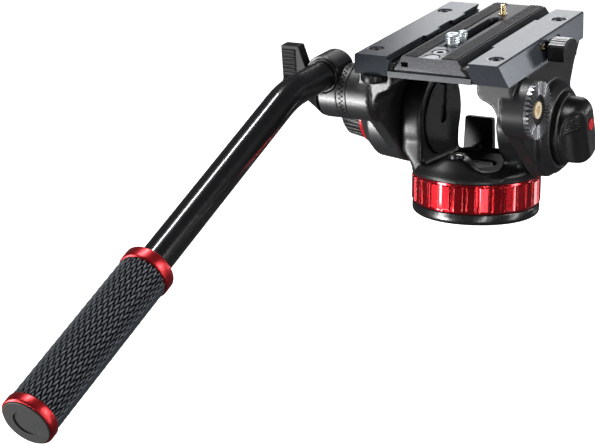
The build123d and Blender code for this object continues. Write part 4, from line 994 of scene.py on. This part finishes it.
def pale_strip():
    low, top = level_reach("plate_strip")
    shape = bmesh.new()
    layer = shape.verts.layers.float.new("relief")
    grid = []
    for i in range(STRIP_ACROSS + 1):
        x = -STRIP_HALF + 2 * STRIP_HALF * i / STRIP_ACROSS
        column = []
        for j in range(STRIP_ALONG + 1):
            y = STRIP_NEAR + (STRIP_FAR - STRIP_NEAR) * j / STRIP_ALONG
            depth, pale = dish(x, y)
            vert = shape.verts.new(level(x, y, top - depth))
            vert[layer] = relief_value(pale)
            column.append(vert)
        grid.append(column)
    for near, far in zip(grid, grid[1:]):
        for j in range(STRIP_ALONG):
            shape.faces.new((near[j], far[j], far[j + 1], near[j + 1]))
    edges = [edge for edge in shape.edges if edge.is_boundary]
    made = bmesh.ops.extrude_edge_only(shape, edges=edges)
    drop = level(0, 0, low) - level(0, 0, top)
    walls = [item for item in made["geom"] if isinstance(item, bmesh.types.BMVert)]
    for vert in walls:
        vert.co += drop
        vert[layer] = relief_value(1)
    rim = [edge for edge in shape.edges if edge.is_boundary]
    bmesh.ops.holes_fill(shape, edges=rim, sides=0)
    mesh = finished_mesh("pale_strip", shape)
    smoothed(mesh, 40)
    piece = placed("pale_strip", mesh, light_strip(), "camera_plate")
    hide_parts("plate_strip")


# Bright machined dishes round the rail screws

RAIL_SCREWS = ((-43.7, -62.3), (-43.7, 42.2), (43.7, -62.3), (43.7, 42.2))
# Section of a dish: (radius, height above the rail)
DISH_SECTION = ((5.9, 0.02), (5.95, -0.06), (4.75, -0.88), (4.7, -0.78), (5.7, -0.02))
DISH_AROUND = 64


def screw_dishes():
    top = level_reach("right_rail")[1]
    bright = bright_cut()
    for number, (x, y) in enumerate(RAIL_SCREWS):
        profiles = []
        for i in range(DISH_AROUND):
            across = math.cos(2 * math.pi * i / DISH_AROUND)
            along = math.sin(2 * math.pi * i / DISH_AROUND)
            profiles.append([level(x + r * across, y + r * along, top + rise) for r, rise in DISH_SECTION])
        mesh = ring_mesh("screw_dish", profiles)
        smoothed(mesh, 40)
        placed(f"screw_dish_{number + 1}", mesh, bright, "tilt_body")


# The plate lock's thumb piece

# Its side outline as (y, z), its sides' x, and where its ribs cross the top
LEVER_OUTLINE = (
    (9.3, 115.7),
    (9.3, 125.5),
    (8.0, 126.8),
    (4.5, 128.5),
    (1.0, 129.3),
    (-2.0, 129.6),
    (-5.5, 129.3),
    (-8.7, 128.3),
    (-11.1, 126.9),
    (-12.2, 125.2),
    (-12.2, 115.7),
)
LEVER_SIDES = (57.5, 70.4)
LEVER_EDGE = 1.1
LEVER_RIBS = (-10.6, -8.3, -5.8, -3.2, -0.6, 2.0)
# A rib's half width and height, how deep it stands in the top, and how far it stops from the sides
RIB_HALF = 0.68
RIB_HEIGHT = 0.5
RIB_SINK = 0.1
RIB_INSET = 0.9
RIB_STEPS = 6


def prism(name, outline, sides, material, body, width):
    """A piece with the same level side outline from one side to the other, and rounded edges."""
    shape = bmesh.new()
    near, far = [[shape.verts.new(level(x, y, z)) for y, z in outline] for x in sides]
    for i in range(len(outline)):
        k = (i + 1) % len(outline)
        shape.faces.new((near[i], near[k], far[k], far[i]))
    shape.faces.new(near)
    shape.faces.new(far)
    mesh = finished_mesh(name, shape)
    smoothed(mesh, 30)
    made = placed(name, mesh, material, body)
    if width:
        round_edges(made, width)


def lever_height(y):
    """Level height of the thumb piece's top."""
    for (y_far, z_far), (y_near, z_near) in zip(LEVER_OUTLINE[1:], LEVER_OUTLINE[2:]):
        if y_near <= y <= y_far and y_near < y_far:
            return z_far + (z_near - z_far) * (y_far - y) / (y_far - y_near)
    return LEVER_OUTLINE[0][1]


def lever_thumb():
    """The lever's arched thumb piece, with pale crests painted on its ribs as a highlight."""
    black = black_plastic()
    prism("lever_thumb", LEVER_OUTLINE, LEVER_SIDES, black, "plate_lever", LEVER_EDGE)
    # The ribs' pale crests are a painted highlight
    pale = rib_highlight_paint()
    sides = (LEVER_SIDES[0] + RIB_INSET, LEVER_SIDES[1] - RIB_INSET)
    turns = [math.pi * step / RIB_STEPS for step in range(RIB_STEPS + 1)]
    for number, centre in enumerate(LEVER_RIBS):
        foot = lever_height(centre) - RIB_SINK
        outline = [(centre + RIB_HALF * math.cos(turn), foot + RIB_HEIGHT * math.sin(turn)) for turn in turns]
        prism(f"lever_rib_{number + 1}", outline, sides, pale, "plate_lever", 0)


# The left rail, whose inner wall leans over the sliding plate's flank

RAIL_LEAN = 3.0
# Level heights between which the wall leans, and the x beyond which the rail's points belong to it
LEAN_LOW = 118.0
LEAN_HIGH = 130.0
LEAN_FROM = -34.0
# Faces that meet at less than this angle become one
FLAT_TURN = math.radians(0.5)


def left_rail():
    source = nodes["left_rail"].data
    mesh = bpy.data.meshes.new("left_rail_cut")
    mesh.from_pydata([tuple(v.co) for v in source.vertices], [], [tuple(p.vertices) for p in source.polygons])
    for vertex in mesh.vertices:
        height = level_height(vertex.co)
        if vertex.co.x > LEAN_FROM * MM and height > LEAN_LOW:
            share = min(1.0, (height - LEAN_LOW) / (LEAN_HIGH - LEAN_LOW))
            vertex.co.x += RAIL_LEAN * share * MM
    shape = bmesh.new()
    shape.from_mesh(mesh)
    bmesh.ops.remove_doubles(shape, verts=shape.verts, dist=WELD_DISTANCE)
    bmesh.ops.dissolve_limit(shape, angle_limit=FLAT_TURN, verts=shape.verts, edges=shape.edges)
    shape.to_mesh(mesh)
    shape.free()
    smoothed(mesh, 28)
    made = placed("left_rail_cut", mesh, rail_coat(), "tilt_body")
    round_edges(made, EDGES["right_rail"])
    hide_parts("left_rail")


def make_pieces():
    lever_thumb()
    left_rail()
    castings()
    grip()
    toothed_rings()
    camera_screws()
    pale_strip()
    screw_dishes()


# Studio

# Rectangular lights that face the head: (name, place, width, height, watts)
LIGHTS = (
    ("near_left", (-0.95, -1.0, -0.05), 0.28, 1.3, 24),
    ("near_low", (-0.80, -1.1, -0.6), 0.35, 0.35, 15),
    ("camera_side", (0.74, -1.0, -0.15), 0.07, 0.9, 5),
    ("right", (1.25, 0.1, 0.1), 0.14, 1.2, 6),
    ("far_top", (-0.42, 1.27, 0.72), 0.6, 0.35, 2.4),
    ("bar_line", (-0.38, -0.08, 1.24), 0.75, 0.08, 13),
    ("grip_side", (0.9, -0.02, 0.5), 0.3, 0.3, 5),
    ("rail_side", (0.80, 0.88, 0.26), 0.25, 0.25, 2.4),
    ("far_low", (0.5, 1.1, -0.28), 0.12, 0.12, 0.12),
)
LIGHT_AIM = Vector((0.0, -0.08, 0.08))
SKY_COLOR = (0.95, 0.97, 1.0, 1.0)
SKY_STRENGTH = 0.07
# The white floor's half width, its distance below the model and its own glow
FLOOR_HALF = 6.0
FLOOR_DROP = 0.004
FLOOR_GLOW = 0.85


def camera():
    data = bpy.data.cameras.new("camera")
    data.lens = CAMERA_LENS
    data.sensor_width = CAMERA_SENSOR
    data.clip_start = CAMERA_CLIP
    made = linked("camera", data)
    made.location = CAMERA_PLACE
    made.rotation_euler = CAMERA_AIM.to_track_quat("-Z", "Y").to_euler()
    bpy.context.scene.camera = made


def softbox(name, place, width, height, power):
    data = bpy.data.lights.new(name, "AREA")
    data.shape = "RECTANGLE"
    data.size = width
    data.size_y = height
    data.energy = power
    made = linked(name, data)
    made.location = Vector(place)
    made.rotation_euler = (LIGHT_AIM - Vector(place)).to_track_quat("-Z", "Y").to_euler()


def paper():
    made = Shader("paper", (0.9, 0.9, 0.9), 0.9)
    made.tint(made.noise(300), 0.99, 1.0)
    made.set("Emission Color", (1.0, 1.0, 1.0, 1.0))
    made.set("Emission Strength", FLOOR_GLOW)
    return made.material


def white_floor():
    half = FLOOR_HALF
    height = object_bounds()[0][2] - FLOOR_DROP
    corners = [(-half, -half, height), (half, -half, height), (half, half, height), (-half, half, height)]
    floor = bpy.data.meshes.new("floor")
    floor.from_pydata(corners, [], [(0, 1, 2, 3)])
    floor.materials.append(paper())
    made = linked("floor", floor)
    made.visible_diffuse = False
    made.visible_glossy = False
    made.visible_shadow = False
    made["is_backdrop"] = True


def studio():
    bpy.context.scene.view_settings.view_transform = "Standard"
    world = bpy.data.worlds.new("studio")
    world.use_nodes = True
    background = world.node_tree.nodes["Background"]
    background.inputs["Color"].default_value = SKY_COLOR
    background.inputs["Strength"].default_value = SKY_STRENGTH
    bpy.context.scene.world = world
    for light in LIGHTS:
        softbox(*light)
    white_floor()


camera()
studio()
dress_nodes()
make_pieces()
